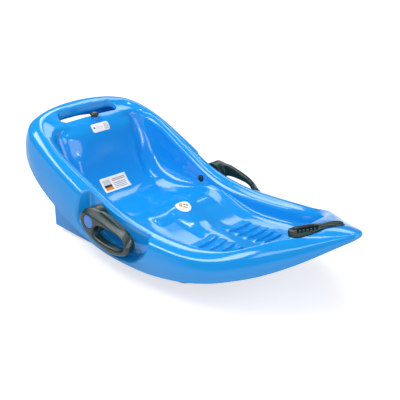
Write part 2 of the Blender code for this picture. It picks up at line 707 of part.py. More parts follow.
def build_lever(side, word, finish, empty):
    """Loop-shaped brake lever with its hub, boss, bolt room and cap recess."""
    outline = smooth_outline(LEVER_OUTLINE, 2, True)
    depth = (
        (GRIP_INNER_FACE, -LEVER_ROUNDING), (GRIP_INNER_FACE + 0.3 * LEVER_ROUNDING,
                                             -0.3 * LEVER_ROUNDING),
        (GRIP_INNER_FACE + LEVER_ROUNDING, 0.0), (LEVER_OUTER_FACE - LEVER_ROUNDING, 0.0),
        (LEVER_OUTER_FACE - 0.3 * LEVER_ROUNDING, -0.3 * LEVER_ROUNDING),
        (LEVER_OUTER_FACE, -LEVER_ROUNDING),
    )
    rings = [[(x, side * y, z) for x, z in grow_outline(outline, grow)] for y, grow in depth]
    lever = add_object(f"brake_lever_{word}", loft(rings), finish)
    lever.parent = empty
    opening = smooth_outline(GRIP_OPENING, 2, True)
    flare = ((GRIP_INNER_FACE - 0.002, 0.005), (GRIP_INNER_FACE + 0.005, 0.0),
             (LEVER_OUTER_FACE - 0.005, 0.0), (LEVER_OUTER_FACE + 0.002, 0.005))
    rings = [[(x, side * y, z) for x, z in grow_outline(opening, grow)] for y, grow in flare]
    hub = turned_side(0, 0, (
        (BOSS_RADIUS, BOSS_FOOT), (BOSS_RADIUS, HUB_INNER_FACE), (HUB_RADIUS, HUB_INNER_FACE),
        (HUB_RADIUS, GRIP_INNER_FACE + LEVER_ROUNDING)), side)
    cap_floor = LEVER_OUTER_FACE - CAP_SETBACK - CAP_DEPTH
    room = turned_side(0, 0, (
        (BOSS_BORE, BOSS_FOOT - 0.01), (BOSS_BORE, WASHER_Y - GAP),
        (HEAD_ROOM_RADIUS, WASHER_Y - GAP), (HEAD_ROOM_RADIUS, cap_floor),
        (CAP_RADIUS + GAP, cap_floor), (CAP_RADIUS + GAP, LEVER_OUTER_FACE + 0.01)), side)
    steps = [("hub", hub, "UNION"), ("grip opening", loft(rings), "DIFFERENCE"),
             ("bolt room", room, "DIFFERENCE")]
    for k, (x, z) in enumerate(claw_screw_places()):
        hole = rod(x, z, CLAW_SCREW_RADIUS + GAP, BOSS_FOOT - 0.01,
                   BOSS_FOOT + CLAW_SCREW_LENGTH, side, 10)
        steps.append((f"screw hole {k}", hole, "DIFFERENCE"))
    for label, bm, operation in steps:
        guide = add_guide(f"{word} {label}", bm)
        guide.parent = empty
        boolean(lever, guide, operation)


def claw_screw_places():
    """The two screws that hold the claw on the lever's boss, across the claw's arm."""
    turn = CLAW_REST_ANGLE + math.pi / 2
    x, z = CLAW_SCREW_CIRCLE * math.cos(turn), CLAW_SCREW_CIRCLE * math.sin(turn)
    return (x, z), (-x, -z)


def claw_outline():
    """Claw in its own plane, arm along +X: a ring, a tapering arm and a toothed, hooked end."""
    points = []
    root = math.asin(CLAW_ROOT_HALF_WIDTH / CLAW_RING_RADIUS)
    for k in range(CLAW_RING_STEPS + 1):
        turn = root + (2 * math.pi - 2 * root) * k / CLAW_RING_STEPS
        points.append((CLAW_RING_RADIUS * math.cos(turn), CLAW_RING_RADIUS * math.sin(turn)))
    lower = -CLAW_TIP_HALF_WIDTH
    points.append((CLAW_REACH - CLAW_TEETH * CLAW_TOOTH - 0.01, lower))
    start = CLAW_REACH - CLAW_TEETH * CLAW_TOOTH
    for k in range(CLAW_TEETH):
        points.append((start + k * CLAW_TOOTH, lower - 0.35 * CLAW_TOOTH * k))
        points.append((start + (k + 0.8) * CLAW_TOOTH, lower - 0.35 * CLAW_TOOTH * k - CLAW_TOOTH))
    points.append((CLAW_REACH, lower))
    points.append((CLAW_REACH - 0.006, CLAW_TIP_HALF_WIDTH * 0.5))
    points.append((CLAW_REACH - 0.020, CLAW_TIP_HALF_WIDTH))
    return points


def build_claw(side, word, finish, empty):
    """Steel claw inside the skirt, screwed to the lever's boss; its teeth point at the snow."""
    turn = CLAW_REST_ANGLE
    outline = [(-x * math.cos(turn - math.pi) - z * math.sin(turn - math.pi),
                -x * math.sin(turn - math.pi) + z * math.cos(turn - math.pi))
               for x, z in claw_outline()]
    top = BOSS_FOOT - GAP
    claw = add_object(f"brake_claw_{word}",
                      side_prism(outline, side * (top - CLAW_THICKNESS), side * top), finish)
    claw.parent = empty
    holes = [(0, 0, BOSS_BORE + GAP)]
    holes += [(x, z, CLAW_SCREW_RADIUS + GAP) for x, z in claw_screw_places()]
    for k, (x, z, radius) in enumerate(holes):
        hole = rod(x, z, radius, top - CLAW_THICKNESS - 0.01, top + 0.01, side, 12)
        guide = add_guide(f"{word} claw hole {k}", hole)
        guide.parent = empty
        boolean(claw, guide, "DIFFERENCE")


def build_claw_screws(side, word, finish, empty):
    seat = BOSS_FOOT - 2 * GAP - CLAW_THICKNESS
    for k, (x, z) in enumerate(claw_screw_places(), 1):
        screw = turned_side(x, z, (
            (0.7 * CLAW_SCREW_HEAD, seat - CLAW_SCREW_HEAD_HEIGHT), (CLAW_SCREW_HEAD, seat - 0.0005),
            (CLAW_SCREW_HEAD, seat), (CLAW_SCREW_RADIUS, seat),
            (CLAW_SCREW_RADIUS, BOSS_FOOT + CLAW_SCREW_LENGTH - 0.002),
            (0.3 * CLAW_SCREW_RADIUS, BOSS_FOOT + CLAW_SCREW_LENGTH - 0.0005)), side, 10)
        add_object(f"claw_screw_{word}_{k}", screw, finish).parent = empty


def build_hub_cap(side, word, finish, empty):
    seat = LEVER_OUTER_FACE - CAP_SETBACK - CAP_DEPTH + GAP
    cap = turned_side(0, 0, (
        (CAP_RADIUS, seat), (CAP_RADIUS, seat + 0.6 * CAP_DEPTH),
        (CAP_RADIUS - 0.0012, seat + 0.9 * CAP_DEPTH), (0.55 * CAP_RADIUS, seat + CAP_DEPTH)), side)
    add_object(f"hub_cap_{word}", cap, finish).parent = empty


def build_pivot(side, word, steel, black):
    """Bolt, washer and spacer sleeve that the lever turns on, with the nut and its cap inside."""
    x, z = PIVOT_X, PIVOT_Z
    washer_top = WASHER_Y + WASHER_THICKNESS
    head = washer_top + GAP
    bolt = turned_side(x, z, (
        (0.8 * BOLT_RADIUS, BOLT_TIP), (BOLT_RADIUS, BOLT_TIP + 0.0006), (BOLT_RADIUS, head),
        (BOLT_HEAD_RADIUS, head), (BOLT_HEAD_RADIUS, head + 0.6 * BOLT_HEAD_HEIGHT),
        (0.6 * BOLT_HEAD_RADIUS, head + BOLT_HEAD_HEIGHT)), side, 16)
    add_object(f"pivot_bolt_{word}", bolt, steel)
    bore = circle(x, z, SLEEVE_BORE)
    washer = tube_side(bore, circle(x, z, WASHER_RADIUS), WASHER_Y, washer_top, side)
    add_object(f"washer_{word}", washer, steel)
    sleeve = tube_side(bore, circle(x, z, SLEEVE_RADIUS), WALL_PAD_OUTER + GAP, WASHER_Y - GAP, side)
    add_object(f"spacer_sleeve_{word}", sleeve, steel)
    seat = WALL_FACE - GAP
    hexagon = [(x + px, z + pz) for px, pz in hexagon_outline(NUT_WIDTH, 3)]
    hole = circle(x, z, BOLT_RADIUS + GAP, 18)
    nut = tube_side(hole, hexagon, seat - NUT_HEIGHT, seat, side)
    add_object(f"lock_nut_{word}", nut, steel)
    tip = seat - NUT_CAP_DEPTH
    cup = turned_side(x, z, (
        (NUT_CAP_BORE, tip + NUT_CAP_CROWN), (NUT_CAP_BORE, seat), (NUT_CAP_RADIUS, seat),
        (NUT_CAP_RADIUS, tip + NUT_CAP_CROWN), (0.86 * NUT_CAP_RADIUS, tip + 0.35 * NUT_CAP_CROWN),
        (0.45 * NUT_CAP_RADIUS, tip)), side)
    add_object(f"nut_cap_{word}", cup, black)


def hexagon_outline(width, per_side):
    """Hexagon with its flats apart by the width, as points spread evenly along its sides."""
    radius = width / math.sqrt(3)
    corners = [(radius * math.cos(math.pi * k / 3), radius * math.sin(math.pi * k / 3))
               for k in range(7)]
    points = []
    for a, b in zip(corners, corners[1:]):
        for k in range(per_side):
            share = k / per_side
            points.append((a[0] + (b[0] - a[0]) * share, a[1] + (b[1] - a[1]) * share))
    return points


def build_handle(finish):
    """Tow handle with a finger-notched loop; its hollow plug sits in the rope hole."""
    frame = handle_frame()
    outline = handle_outline(0.0, 2)
    depth = ((0.0, -0.6 * HANDLE_ROUNDING), (0.5 * HANDLE_ROUNDING, 0.0),
             (HANDLE_THICKNESS - HANDLE_ROUNDING, 0.0),
             (HANDLE_THICKNESS - 0.3 * HANDLE_ROUNDING, -0.35 * HANDLE_ROUNDING),
             (HANDLE_THICKNESS, -HANDLE_ROUNDING))
    rings = [[(x, y, z) for x, y in grow_outline(outline, grow)] for z, grow in depth]
    handle = add_object("tow_handle", loft(rings), finish)
    handle.matrix_world = frame
    plug = turned_up(0, 0, ((PLUG_RADIUS - 0.001, -PLUG_LENGTH), (PLUG_RADIUS, -PLUG_LENGTH + 0.002),
                            (PLUG_RADIUS, 0.5 * HANDLE_THICKNESS)))
    opening = smooth_outline(HANDLE_OPENING, 2, True)
    window = loft([[(x, y, z) for x, y in opening] for z in (-0.01, HANDLE_THICKNESS + 0.01)])
    bore = turned_up(0, 0, ((ROPE_BORE, -0.03), (ROPE_BORE, HANDLE_THICKNESS + 0.01)), 12)
    steps = [("plug", plug, "UNION"), ("window", window, "DIFFERENCE"),
             ("rope bore", bore, "DIFFERENCE")]
    for k in range(FINGER_NOTCHES):
        x = FINGER_NOTCH_START + k * FINGER_NOTCH_PITCH
        notch = plan_prism(circle(x, FINGER_NOTCH_ACROSS, FINGER_NOTCH_RADIUS, 8),
                           HANDLE_THICKNESS * 0.45, HANDLE_THICKNESS + 0.01)
        steps.append((f"finger notch {k}", notch, "DIFFERENCE"))
    for label, bm, operation in steps:
        guide = add_guide(f"handle {label}", bm)
        guide.matrix_world = frame
        boolean(handle, guide, operation)


def build_knob(black, steel):
    """Round coupling knob on the ledge before the hand slot, held by a screw from below."""
    seat = KNOB_SEAT_Z + GAP
    head = seat + KNOB_NECK
    top = seat + KNOB_HEIGHT
    screw_room = seat + 0.6 * KNOB_HEIGHT
    knob = turned_up(KNOB_X, 0, (
        (KNOB_SCREW_RADIUS + GAP, screw_room), (KNOB_SCREW_RADIUS + GAP, seat),
        (KNOB_NECK_RADIUS + 0.002, seat), (KNOB_NECK_RADIUS, head),
        (KNOB_RADIUS - 0.001, head + 0.0005), (KNOB_RADIUS, head + 0.003),
        (0.88 * KNOB_RADIUS, top - 0.0025), (0.6 * KNOB_RADIUS, top - 0.0006),
        (0.2 * KNOB_RADIUS, top)))
    add_object("coupling_knob", knob, black)
    under = KNOB_BOSS_FOOT - GAP
    screw = turned_up(KNOB_X, 0, (
        (0.7 * KNOB_SCREW_HEAD, under - KNOB_SCREW_HEAD_HEIGHT), (KNOB_SCREW_HEAD, under - 0.0008),
        (KNOB_SCREW_HEAD, under), (KNOB_SCREW_RADIUS, under),
        (KNOB_SCREW_RADIUS, screw_room - 0.003), (0.4 * KNOB_SCREW_RADIUS, screw_room - 0.001)), 12)
    add_object("coupling_knob_screw", screw, steel)


def main():
    clear_scene()
    build_shell()
    black = material("black_polyamide", (0.012, 0.016, 0.015), 0.42)
    cap_blue = material("cap_blue_plastic", (0.06, 0.16, 0.55), 0.35)
    steel = material("zinc_plated_steel", (0.55, 0.56, 0.58), 0.35, 1.0)
    for side, word in ((1, "left"), (-1, "right")):
        empty = pivot_empty(word)
        build_lever(side, word, black, empty)
        build_hub_cap(side, word, cap_blue, empty)
        build_claw(side, word, steel, empty)
        build_claw_screws(side, word, steel, empty)
        build_pivot(side, word, steel, black)
    build_handle(black)
    build_knob(black, steel)
    for item in bpy.data.objects:
        if item.parent is None:
            item.location.x += MIDSHIP


main()
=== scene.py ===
# %% [markdown]
# # A moulded plastic sled with two hand brakes
# The real sled is one thin plastic moulding with a few hard parts hung on it: a black brake lever
# and a steel claw at each side, a black tow handle on the nose and a coupling knob at the tail.
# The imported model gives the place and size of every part. This script gives them their finish and
# remakes the moulded ones with a finer surface, in the same places.

# %% The frame
import math

import bmesh
import bpy
import numpy as np
from mathutils import Matrix, Vector
from mathutils.bvhtree import BVHTree


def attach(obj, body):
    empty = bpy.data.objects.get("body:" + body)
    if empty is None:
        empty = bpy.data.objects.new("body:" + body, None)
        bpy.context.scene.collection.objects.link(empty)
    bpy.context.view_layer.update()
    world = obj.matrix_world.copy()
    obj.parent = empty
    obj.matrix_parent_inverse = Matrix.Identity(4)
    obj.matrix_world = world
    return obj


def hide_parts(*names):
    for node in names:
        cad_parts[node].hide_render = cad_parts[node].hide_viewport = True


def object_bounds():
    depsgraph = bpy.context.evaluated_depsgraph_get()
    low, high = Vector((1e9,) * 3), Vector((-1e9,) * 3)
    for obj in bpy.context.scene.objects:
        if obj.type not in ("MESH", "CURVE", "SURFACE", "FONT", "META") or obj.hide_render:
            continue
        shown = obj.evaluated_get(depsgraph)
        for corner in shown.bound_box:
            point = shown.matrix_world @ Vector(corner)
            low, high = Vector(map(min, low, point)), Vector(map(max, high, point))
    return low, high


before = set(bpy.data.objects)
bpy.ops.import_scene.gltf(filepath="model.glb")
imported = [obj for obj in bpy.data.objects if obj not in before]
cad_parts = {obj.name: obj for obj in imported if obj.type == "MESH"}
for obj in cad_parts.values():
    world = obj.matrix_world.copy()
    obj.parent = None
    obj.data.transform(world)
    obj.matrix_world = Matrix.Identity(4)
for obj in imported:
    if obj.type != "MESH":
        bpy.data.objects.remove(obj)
cad_box = [list(corner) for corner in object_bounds()]

# %% [markdown]
# ## Lines plan of the moulding
# A boat builder draws a hull as stations, and this shell is drawn the same way. Each station runs
# from the skirt's lower edge over the shoulder and the lip down to the floor, and the stations run
# from the nose round the left side to the tail. The last numbers give the rim's crown, the place of
# its crest, the trough before the hand bar and how far the wall steps back beside the backrest.

# %% Stations and centre line
SKIN = 0.0032
MIDSHIP = 0.01675
STATIONS = (
    ((0.452, 0.000, 0.192), (0.457, 0.000, 0.2075), (0.322, 0.000, 0.189), (0.240, 0.000, 0.097),
     (0.005, 0.50, 0.0, 0.0)),
    ((0.447, 0.017, 0.189), (0.449, 0.016, 0.2055), (0.322, 0.014, 0.189), (0.2395, 0.012, 0.097),
     (0.005, 0.50, 0.0, 0.0)),
    ((0.430, 0.036, 0.179), (0.428, 0.034, 0.2000), (0.321, 0.030, 0.1885), (0.238, 0.024, 0.0968),
     (0.005, 0.50, 0.0, 0.0)),
    ((0.404, 0.061, 0.162), (0.400, 0.057, 0.1910), (0.319, 0.050, 0.187), (0.2355, 0.040, 0.0962),
     (0.005, 0.50, 0.0, 0.0)),
    ((0.370, 0.095, 0.141), (0.365, 0.089, 0.1790), (0.3145, 0.074, 0.183), (0.230, 0.059, 0.095),
     (0.006, 0.50, 0.0, 0.0)),
    ((0.334, 0.127, 0.122), (0.328, 0.120, 0.1670), (0.304, 0.096, 0.176), (0.2215, 0.078, 0.0935),
     (0.007, 0.50, 0.0, 0.0)),
    ((0.296, 0.158, 0.106), (0.290, 0.150, 0.1540), (0.285, 0.117, 0.166), (0.210, 0.087, 0.0915),
     (0.008, 0.50, 0.0, 0.0)),
    ((0.256, 0.186, 0.094), (0.250, 0.177, 0.1415), (0.256, 0.136, 0.152), (0.196, 0.094, 0.0895),
     (0.008, 0.50, 0.0, 0.0)),
    ((0.214, 0.208, 0.083), (0.210, 0.198, 0.1320), (0.216, 0.149, 0.139), (0.178, 0.100, 0.087),
     (0.008, 0.50, 0.0, 0.0)),
    ((0.165, 0.222, 0.073), (0.165, 0.212, 0.1270), (0.165, 0.156, 0.131), (0.160, 0.104, 0.085),
     (0.008, 0.50, 0.0, 0.0)),
    ((0.120, 0.228, 0.066), (0.120, 0.217, 0.1248), (0.120, 0.157, 0.127), (0.120, 0.107, 0.082),
     (0.008, 0.50, 0.0, 0.0)),
    ((0.060, 0.229, 0.058), (0.060, 0.2175, 0.1248), (0.060, 0.156, 0.1265), (0.060, 0.109, 0.084),
     (0.008, 0.50, 0.0, 0.0)),
    ((0.000, 0.228, 0.055), (0.000, 0.217, 0.1280), (0.000, 0.156, 0.130), (0.000, 0.108, 0.100),
     (0.008, 0.50, 0.0, 0.0)),
    ((-0.075, 0.227, 0.058), (-0.075, 0.216, 0.1410), (-0.075, 0.1565, 0.1430),
     (-0.075, 0.104, 0.1210), (0.008, 0.50, 0.0, 0.0)),
    ((-0.140, 0.227, 0.070), (-0.140, 0.216, 0.1605), (-0.140, 0.160, 0.166),
     (-0.135, 0.103, 0.1090), (0.008, 0.50, 0.0, 0.0)),
    ((-0.205, 0.228, 0.094), (-0.205, 0.217, 0.1920), (-0.205, 0.1635, 0.1965),
     (-0.195, 0.102, 0.1000), (0.009, 0.50, 0.0, 0.0)),
    ((-0.265, 0.228, 0.122), (-0.265, 0.218, 0.2220), (-0.262, 0.1675, 0.225),
     (-0.254, 0.102, 0.1040), (0.009, 0.50, 0.0, 0.10)),
    ((-0.318, 0.225, 0.150), (-0.315, 0.2165, 0.247), (-0.308, 0.170, 0.249),
     (-0.297, 0.102, 0.1260), (0.009, 0.50, 0.0, 0.45)),
    ((-0.358, 0.2225, 0.177), (-0.353, 0.2125, 0.265), (-0.341, 0.166, 0.268),
     (-0.324, 0.103, 0.1700), (0.009, 0.50, 0.0, 0.80)),
    ((-0.394, 0.2165, 0.206), (-0.389, 0.205, 0.2810), (-0.364, 0.157, 0.281),
     (-0.338, 0.104, 0.2150), (0.009, 0.48, 0.001, 1.0)),
    ((-0.427, 0.203, 0.233), (-0.420, 0.193, 0.2940), (-0.378, 0.142, 0.289),
     (-0.346, 0.104, 0.2450), (0.010, 0.45, 0.003, 1.0)),
    ((-0.453, 0.180, 0.252), (-0.445, 0.172, 0.3040), (-0.385, 0.123, 0.293),
     (-0.352, 0.103, 0.2720), (0.012, 0.40, 0.007, 0.8)),
    ((-0.471, 0.149, 0.262), (-0.463, 0.142, 0.3110), (-0.382, 0.105, 0.2945),
     (-0.353, 0.093, 0.2740), (0.014, 0.36, 0.011, 0.3)),
    ((-0.481, 0.109, 0.270), (-0.474, 0.104, 0.3170), (-0.378, 0.076, 0.2955),
     (-0.3535, 0.070, 0.2760), (0.017, 0.32, 0.015, 0.0)),
    ((-0.485, 0.072, 0.275), (-0.479, 0.069, 0.3210), (-0.377, 0.051, 0.296),
     (-0.354, 0.047, 0.2770), (0.019, 0.30, 0.017, 0.0)),
    ((-0.489, 0.043, 0.278), (-0.4825, 0.041, 0.3230), (-0.3765, 0.031, 0.2965),
     (-0.354, 0.029, 0.2775), (0.020, 0.29, 0.018, 0.0)),
    ((-0.4905, 0.021, 0.279), (-0.484, 0.020, 0.3240), (-0.3765, 0.015, 0.2965),
     (-0.354, 0.0145, 0.2780), (0.020, 0.29, 0.018, 0.0)),
    ((-0.491, 0.000, 0.279), (-0.4845, 0.000, 0.3245), (-0.3765, 0.000, 0.2965),
     (-0.354, 0.000, 0.2780), (0.020, 0.29, 0.018, 0.0)),
)
LAST = len(STATIONS) - 1
END_SPANS = 6
CENTRE_LINE = (
    (0.240, 0.0970), (0.214, 0.0930), (0.187, 0.0900), (0.160, 0.0880), (0.120, 0.0880),
    (0.060, 0.0940), (0.000, 0.1060), (-0.062, 0.1290), (-0.130, 0.1090), (-0.195, 0.0990),
    (-0.254, 0.1030), (-0.300, 0.1260), (-0.327, 0.1700), (-0.342, 0.2150), (-0.350, 0.2450),
    (-0.354, 0.2780),
)
print("stations:", len(STATIONS))

# %% [markdown]
# A natural cubic spline passes through all its points with continuous curvature. Gloss shows every
# kink in a surface, so each rail of the lines plan runs through such a spline, and it is carried on
# past the centre plane at both ends, so that the nose and the tail close without a crease.

# %% Splines
def spline(knots, values, places):
    knots, values, places = (np.asarray(item, float) for item in (knots, values, places))
    count, step = len(knots), np.diff(knots)
    system, right = np.eye(count), np.zeros_like(values)
    for k in range(1, count - 1):
        rise, before = values[k + 1] - values[k], values[k] - values[k - 1]
        system[k, k - 1:k + 2] = step[k - 1], 2 * (step[k - 1] + step[k]), step[k]
        right[k] = 6 * (rise / step[k] - before / step[k - 1])
    bend = np.linalg.solve(system, right)
    k = np.clip(np.searchsorted(knots, places) - 1, 0, count - 2)
    shape = (-1,) + (1,) * (values.ndim - 1)
    a, b = (knots[k + 1] - places).reshape(shape), (places - knots[k]).reshape(shape)
    h = step[k].reshape(shape)
    cubic = (bend[k] * a ** 3 + bend[k + 1] * b ** 3) / (6 * h)
    return cubic + (values[k] / h - bend[k] * h / 6) * a + (values[k + 1] / h - bend[k + 1] * h / 6) * b


def mirrored_spline(rail, places):
    rail, reach = np.asarray(rail, float), 4
    flip = np.array((1, -1, 1)) if rail.shape[1] == 3 else np.ones(rail.shape[1])
    values = np.vstack((rail[reach:0:-1] * flip, rail, rail[-2:-2 - reach:-1] * flip))
    return spline(np.arange(-reach, len(rail) + reach), values, places)


def smooth_step(value):
    value = np.clip(value, 0.0, 1.0)
    return value * value * (3 - 2 * value)


# %% [markdown]
# The rows are close together where the surface turns fast: across the foot ribs and round the
# lever pockets. Everywhere else they are wide apart, so the whole shell stays a light mesh.

# %% Places of the rows
END_STEPS, NOSE_ROWS, BACK_ROWS, FINE_PLACE = 4, 8, 44, 0.02
RIB_ROW, POCKET_ROW = 0.0016, 0.0032
RIB_ZONE, POCKET_END = (0.190, 0.050), -0.225


def row_places():
    ends = np.arange(0, END_SPANS, 1 / END_STEPS)
    fine = np.arange(END_SPANS, LAST - END_SPANS + 0.01, FINE_PLACE)
    foot = mirrored_spline([row[3] for row in STATIONS], fine)[:, 0]
    rows = np.concatenate((
        np.linspace(foot[0], RIB_ZONE[0], NOSE_ROWS, endpoint=False),
        np.arange(RIB_ZONE[0], RIB_ZONE[1], -RIB_ROW),
        np.arange(RIB_ZONE[1], POCKET_END, -POCKET_ROW)))
    middle = np.interp(-rows, -foot, fine)
    back = np.linspace(middle[-1], LAST - END_SPANS, BACK_ROWS)[1:]
    tail = np.arange(LAST - END_SPANS + 1 / END_STEPS, LAST + 0.01, 1 / END_STEPS)
    return np.concatenate((ends, middle, back, tail))


places = row_places()
FIRST_ROW = END_SPANS * END_STEPS
LAST_ROW = len(places) - 1 - FIRST_ROW
print("rows:", len(places))

# %% [markdown]
# Each station's section is a run of corners, and every corner is rounded by a quadratic curve that
# uses up a share of both its sides. The lip has two small corners instead of one: that bead is what
# draws the twin highlight along the inside of the rim.

# %% Section through the rim and wall
WALL_REACH, WALL_RISE = 0.89, 0.22
LIP_TOP, LIP_SIDE, LIP_ROUND = 0.0060, 0.0055, 0.0026
SKIRT_BULGE, SHOULDER_ROUND, CREST_LIFT, LEDGE_LIFT = 0.005, 0.012, 1.6, 0.2
VALLEY_STEP, VALLEY_RISE = (-0.016, 0.010, -0.002), 0.12
# Where the press begins at the ends and at the top, and how far the plan reaches without it.
LENGTH_TUCK, HEIGHT_TUCK = (0.440, 0.4754), (0.316, 0.3410)
ARC_STEPS = (7, 5, 5, 4, 4, 4, 6, 4)
RUN_STEPS = (7, 5, 2, 0, 3, 1, 8, 0, 1)
MOST_SHARE, TINY = 0.48, 1e-6


def lengths(steps):
    return np.maximum(np.linalg.norm(steps, axis=1), TINY)


def share_of(length, corner, neighbour):
    return np.minimum(MOST_SHARE, length / lengths(neighbour - corner))[:, None]


def towards(start, end, length):
    step = end - start
    return start + step * (length / lengths(step))[:, None]


def section_corners(edge, shoulder, lip, foot, shape):
    crown, crest_place, trough, step_back = (shape[:, k:k + 1] for k in range(4))
    up = np.array((0, 0, 1.0))
    outward = (shoulder - lip) * np.array((1, 1, 0))
    outward /= np.linalg.norm(outward, axis=1)[:, None]
    bulge = (edge + shoulder) / 2 + outward * SKIRT_BULGE
    crest = shoulder + (lip - shoulder) * crest_place + up * crown * CREST_LIFT
    ledge = crest + (lip - crest) * 0.5 + up * (LEDGE_LIFT * crown - trough)
    wall = foot + (lip - foot) * np.array((WALL_REACH, WALL_REACH, WALL_RISE))
    valley = foot + np.array(VALLEY_STEP) * step_back
    hidden = foot + (wall - foot) * VALLEY_RISE + (valley - foot)
    top, side = towards(lip, ledge, LIP_TOP), towards(lip, wall, LIP_SIDE)
    corners = [edge, bulge, shoulder, crest, ledge, top, side, wall, hidden, foot]
    half = np.full((len(edge), 1), 0.5)
    shares = [
        (half, half),
        (half * 0.4, share_of(SHOULDER_ROUND, shoulder, crest)),
        (half, half),
        (half, half),
        (share_of(LIP_ROUND, top, ledge), share_of(LIP_ROUND, top, side)),
        (share_of(LIP_ROUND, side, top), share_of(LIP_ROUND, side, wall)),
        (half * 0.9, half * 1.2),
        (half * 0.8, half * 0.9),
    ]
    return corners, shares


def section_points(corners, shares):
    points, last = [corners[0]], corners[0]
    for k, (before, after) in enumerate(shares, 1):
        start = corners[k] + (corners[k - 1] - corners[k]) * before
        end = corners[k] + (corners[k + 1] - corners[k]) * after
        for step in range(1, RUN_STEPS[k - 1] + 1):
            points.append(last + (start - last) * step / RUN_STEPS[k - 1])
        for step in range(1, ARC_STEPS[k - 1] + 1):
            t = step / ARC_STEPS[k - 1]
            points.append(start * (1 - t) ** 2 + 2 * corners[k] * t * (1 - t) + end * t ** 2)
        last = end
    for step in range(1, RUN_STEPS[-1] + 1):
        points.append(last + (corners[-1] - last) * step / RUN_STEPS[-1])
    return np.stack(points, axis=1)


def tuck_in(values, start, reach, limit):
    """Press what lies past the start back, so that what reached furthest ends at the limit."""
    past = np.maximum(np.abs(values) - start, 0)
    return values - np.sign(values) * (reach - limit) / (reach - start) ** 2 * past ** 2


rails = [mirrored_spline(rail, places) for rail in zip(*STATIONS)]
columns = section_points(*section_corners(*rails))
columns[..., 0] = tuck_in(columns[..., 0] + MIDSHIP, *LENGTH_TUCK, cad_box[1][0]) - MIDSHIP
columns[..., 2] = tuck_in(columns[..., 2], *HEIGHT_TUCK, cad_box[1][2])
print("points round one section:", columns.shape[1])

# %% [markdown]
# The floor fills the ring inside the wall's foot. It rises to a low hump between the knees, falls
# into the footwells and runs up the backrest. Across the footwells lie ribs for the heels: long
# rising treads that each end in a short face towards the nose, with their edges rounded.

# %% Floor and foot ribs
CREST_SHARE, CREST_FADE = 0.06, 0.46
LEVEL_STATIONS, NOSE_BLEND, TAIL_BLEND = 9, 1.0, 2.0
SEAT_LIP_X, SEAT_LIP_HEIGHT, SEAT_LIP_HALF_WIDTH, SEAT_LIP_ROUND = -0.0625, 0.0055, 0.030, 0.004
RIB_FACES = (0.079, 0.107, 0.135, 0.161, 0.186)
RIB_HEIGHT, RIB_FACE_RUN, RIB_START = 0.0070, 0.0022, 0.052
RIB_INNER, RIB_FADE, RIB_ROUND, RIB_STEP, RIB_MARGIN = 0.016, 0.013, 0.0010, 0.0002, 0.01


def rib_profile():
    along = np.arange(RIB_START - RIB_MARGIN, RIB_FACES[-1] + RIB_MARGIN, RIB_STEP)
    height, start = np.zeros_like(along), RIB_START
    for face in RIB_FACES:
        rise = np.minimum((along - start) / (face - start), (face - along) / RIB_FACE_RUN)
        height += RIB_HEIGHT * np.clip(rise, 0, 1) * (along >= start) * (along <= face)
        start = face
    reach = np.arange(-3 * RIB_ROUND, 3 * RIB_ROUND, RIB_STEP)
    soft = np.exp(-(reach / RIB_ROUND) ** 2)
    return along, np.convolve(height, soft / soft.sum(), "same")


def seat_lip_lift(x):
    """Crest between the seat and the footwells: a tent with its ridge rounded off."""
    away = np.sqrt((x - SEAT_LIP_X) ** 2 + SEAT_LIP_ROUND ** 2) - SEAT_LIP_ROUND * 0.5
    return SEAT_LIP_HEIGHT * np.clip(1 - away / SEAT_LIP_HALF_WIDTH, 0, 1)


def rib_lift(x, y):
    return np.interp(x, *rib_profile()) * smooth_step((np.abs(y) - RIB_INNER) / RIB_FADE)


def floor_grid():
    foot = rails[3][FIRST_ROW:LAST_ROW + 1]
    spot = places[FIRST_ROW:LAST_ROW + 1, None]
    line = spline(range(END_SPANS, LAST - END_SPANS + 1), CENTRE_LINE, spot[:, 0])
    order = np.argsort(line[:, 0])
    extra = (line[:, 0] - foot[:, 0]) * (1 - smooth_step(spot[:, 0] - END_SPANS))
    front = spot[:, 0] < LEVEL_STATIONS
    centre_x = np.where(front, foot[:, 0] + extra, line[:, 0])[:, None]
    level = np.interp(centre_x[:, 0], line[order, 0], line[order, 1])
    centre_z = np.where(front, level, line[:, 1])[:, None]
    nose, tail = rails[3][:FIRST_ROW + 1], rails[3][:LAST_ROW - 1:-1]
    blend = (spot - END_SPANS) / (LAST - 2 * END_SPANS)
    part = (nose[:, 1] / nose[-1, 1]) * (1 - blend) + (tail[:, 1] / tail[-1, 1]) * blend
    fade = 1 - smooth_step((part - CREST_SHARE) / CREST_FADE)
    x = centre_x + (foot[:, :1] - centre_x) * part
    y = foot[:, 1:2] * part
    z = foot[:, 2:] + (centre_z - foot[:, 2:]) * fade
    grid = np.stack((x, y, z), axis=2)
    near_nose = 1 - smooth_step((spot - END_SPANS) / NOSE_BLEND)
    near_tail = 1 - smooth_step((LAST - END_SPANS - spot) / TAIL_BLEND)
    grid += (nose - grid[0])[None] * near_nose[:, :, None]
    grid += (tail - grid[-1])[None] * near_tail[:, :, None]
    grid[:, :, 2] += rib_lift(grid[:, :, 0], grid[:, :, 1])
    grid[:, :-1, 2] += seat_lip_lift(grid[:, :-1, 0])
    return grid


floor = floor_grid()
print("floor grid:", floor.shape[:2])

# %% [markdown]
# The lever lies in a pocket of the skirt, so that it can't catch on a gate or a leg. The pocket has
# a flat floor and sloping sides. A cutter would leave sharp edges that a moulding doesn't have, so
# here the skirt's points are pushed inwards instead, with a soft minimum that rounds every edge.

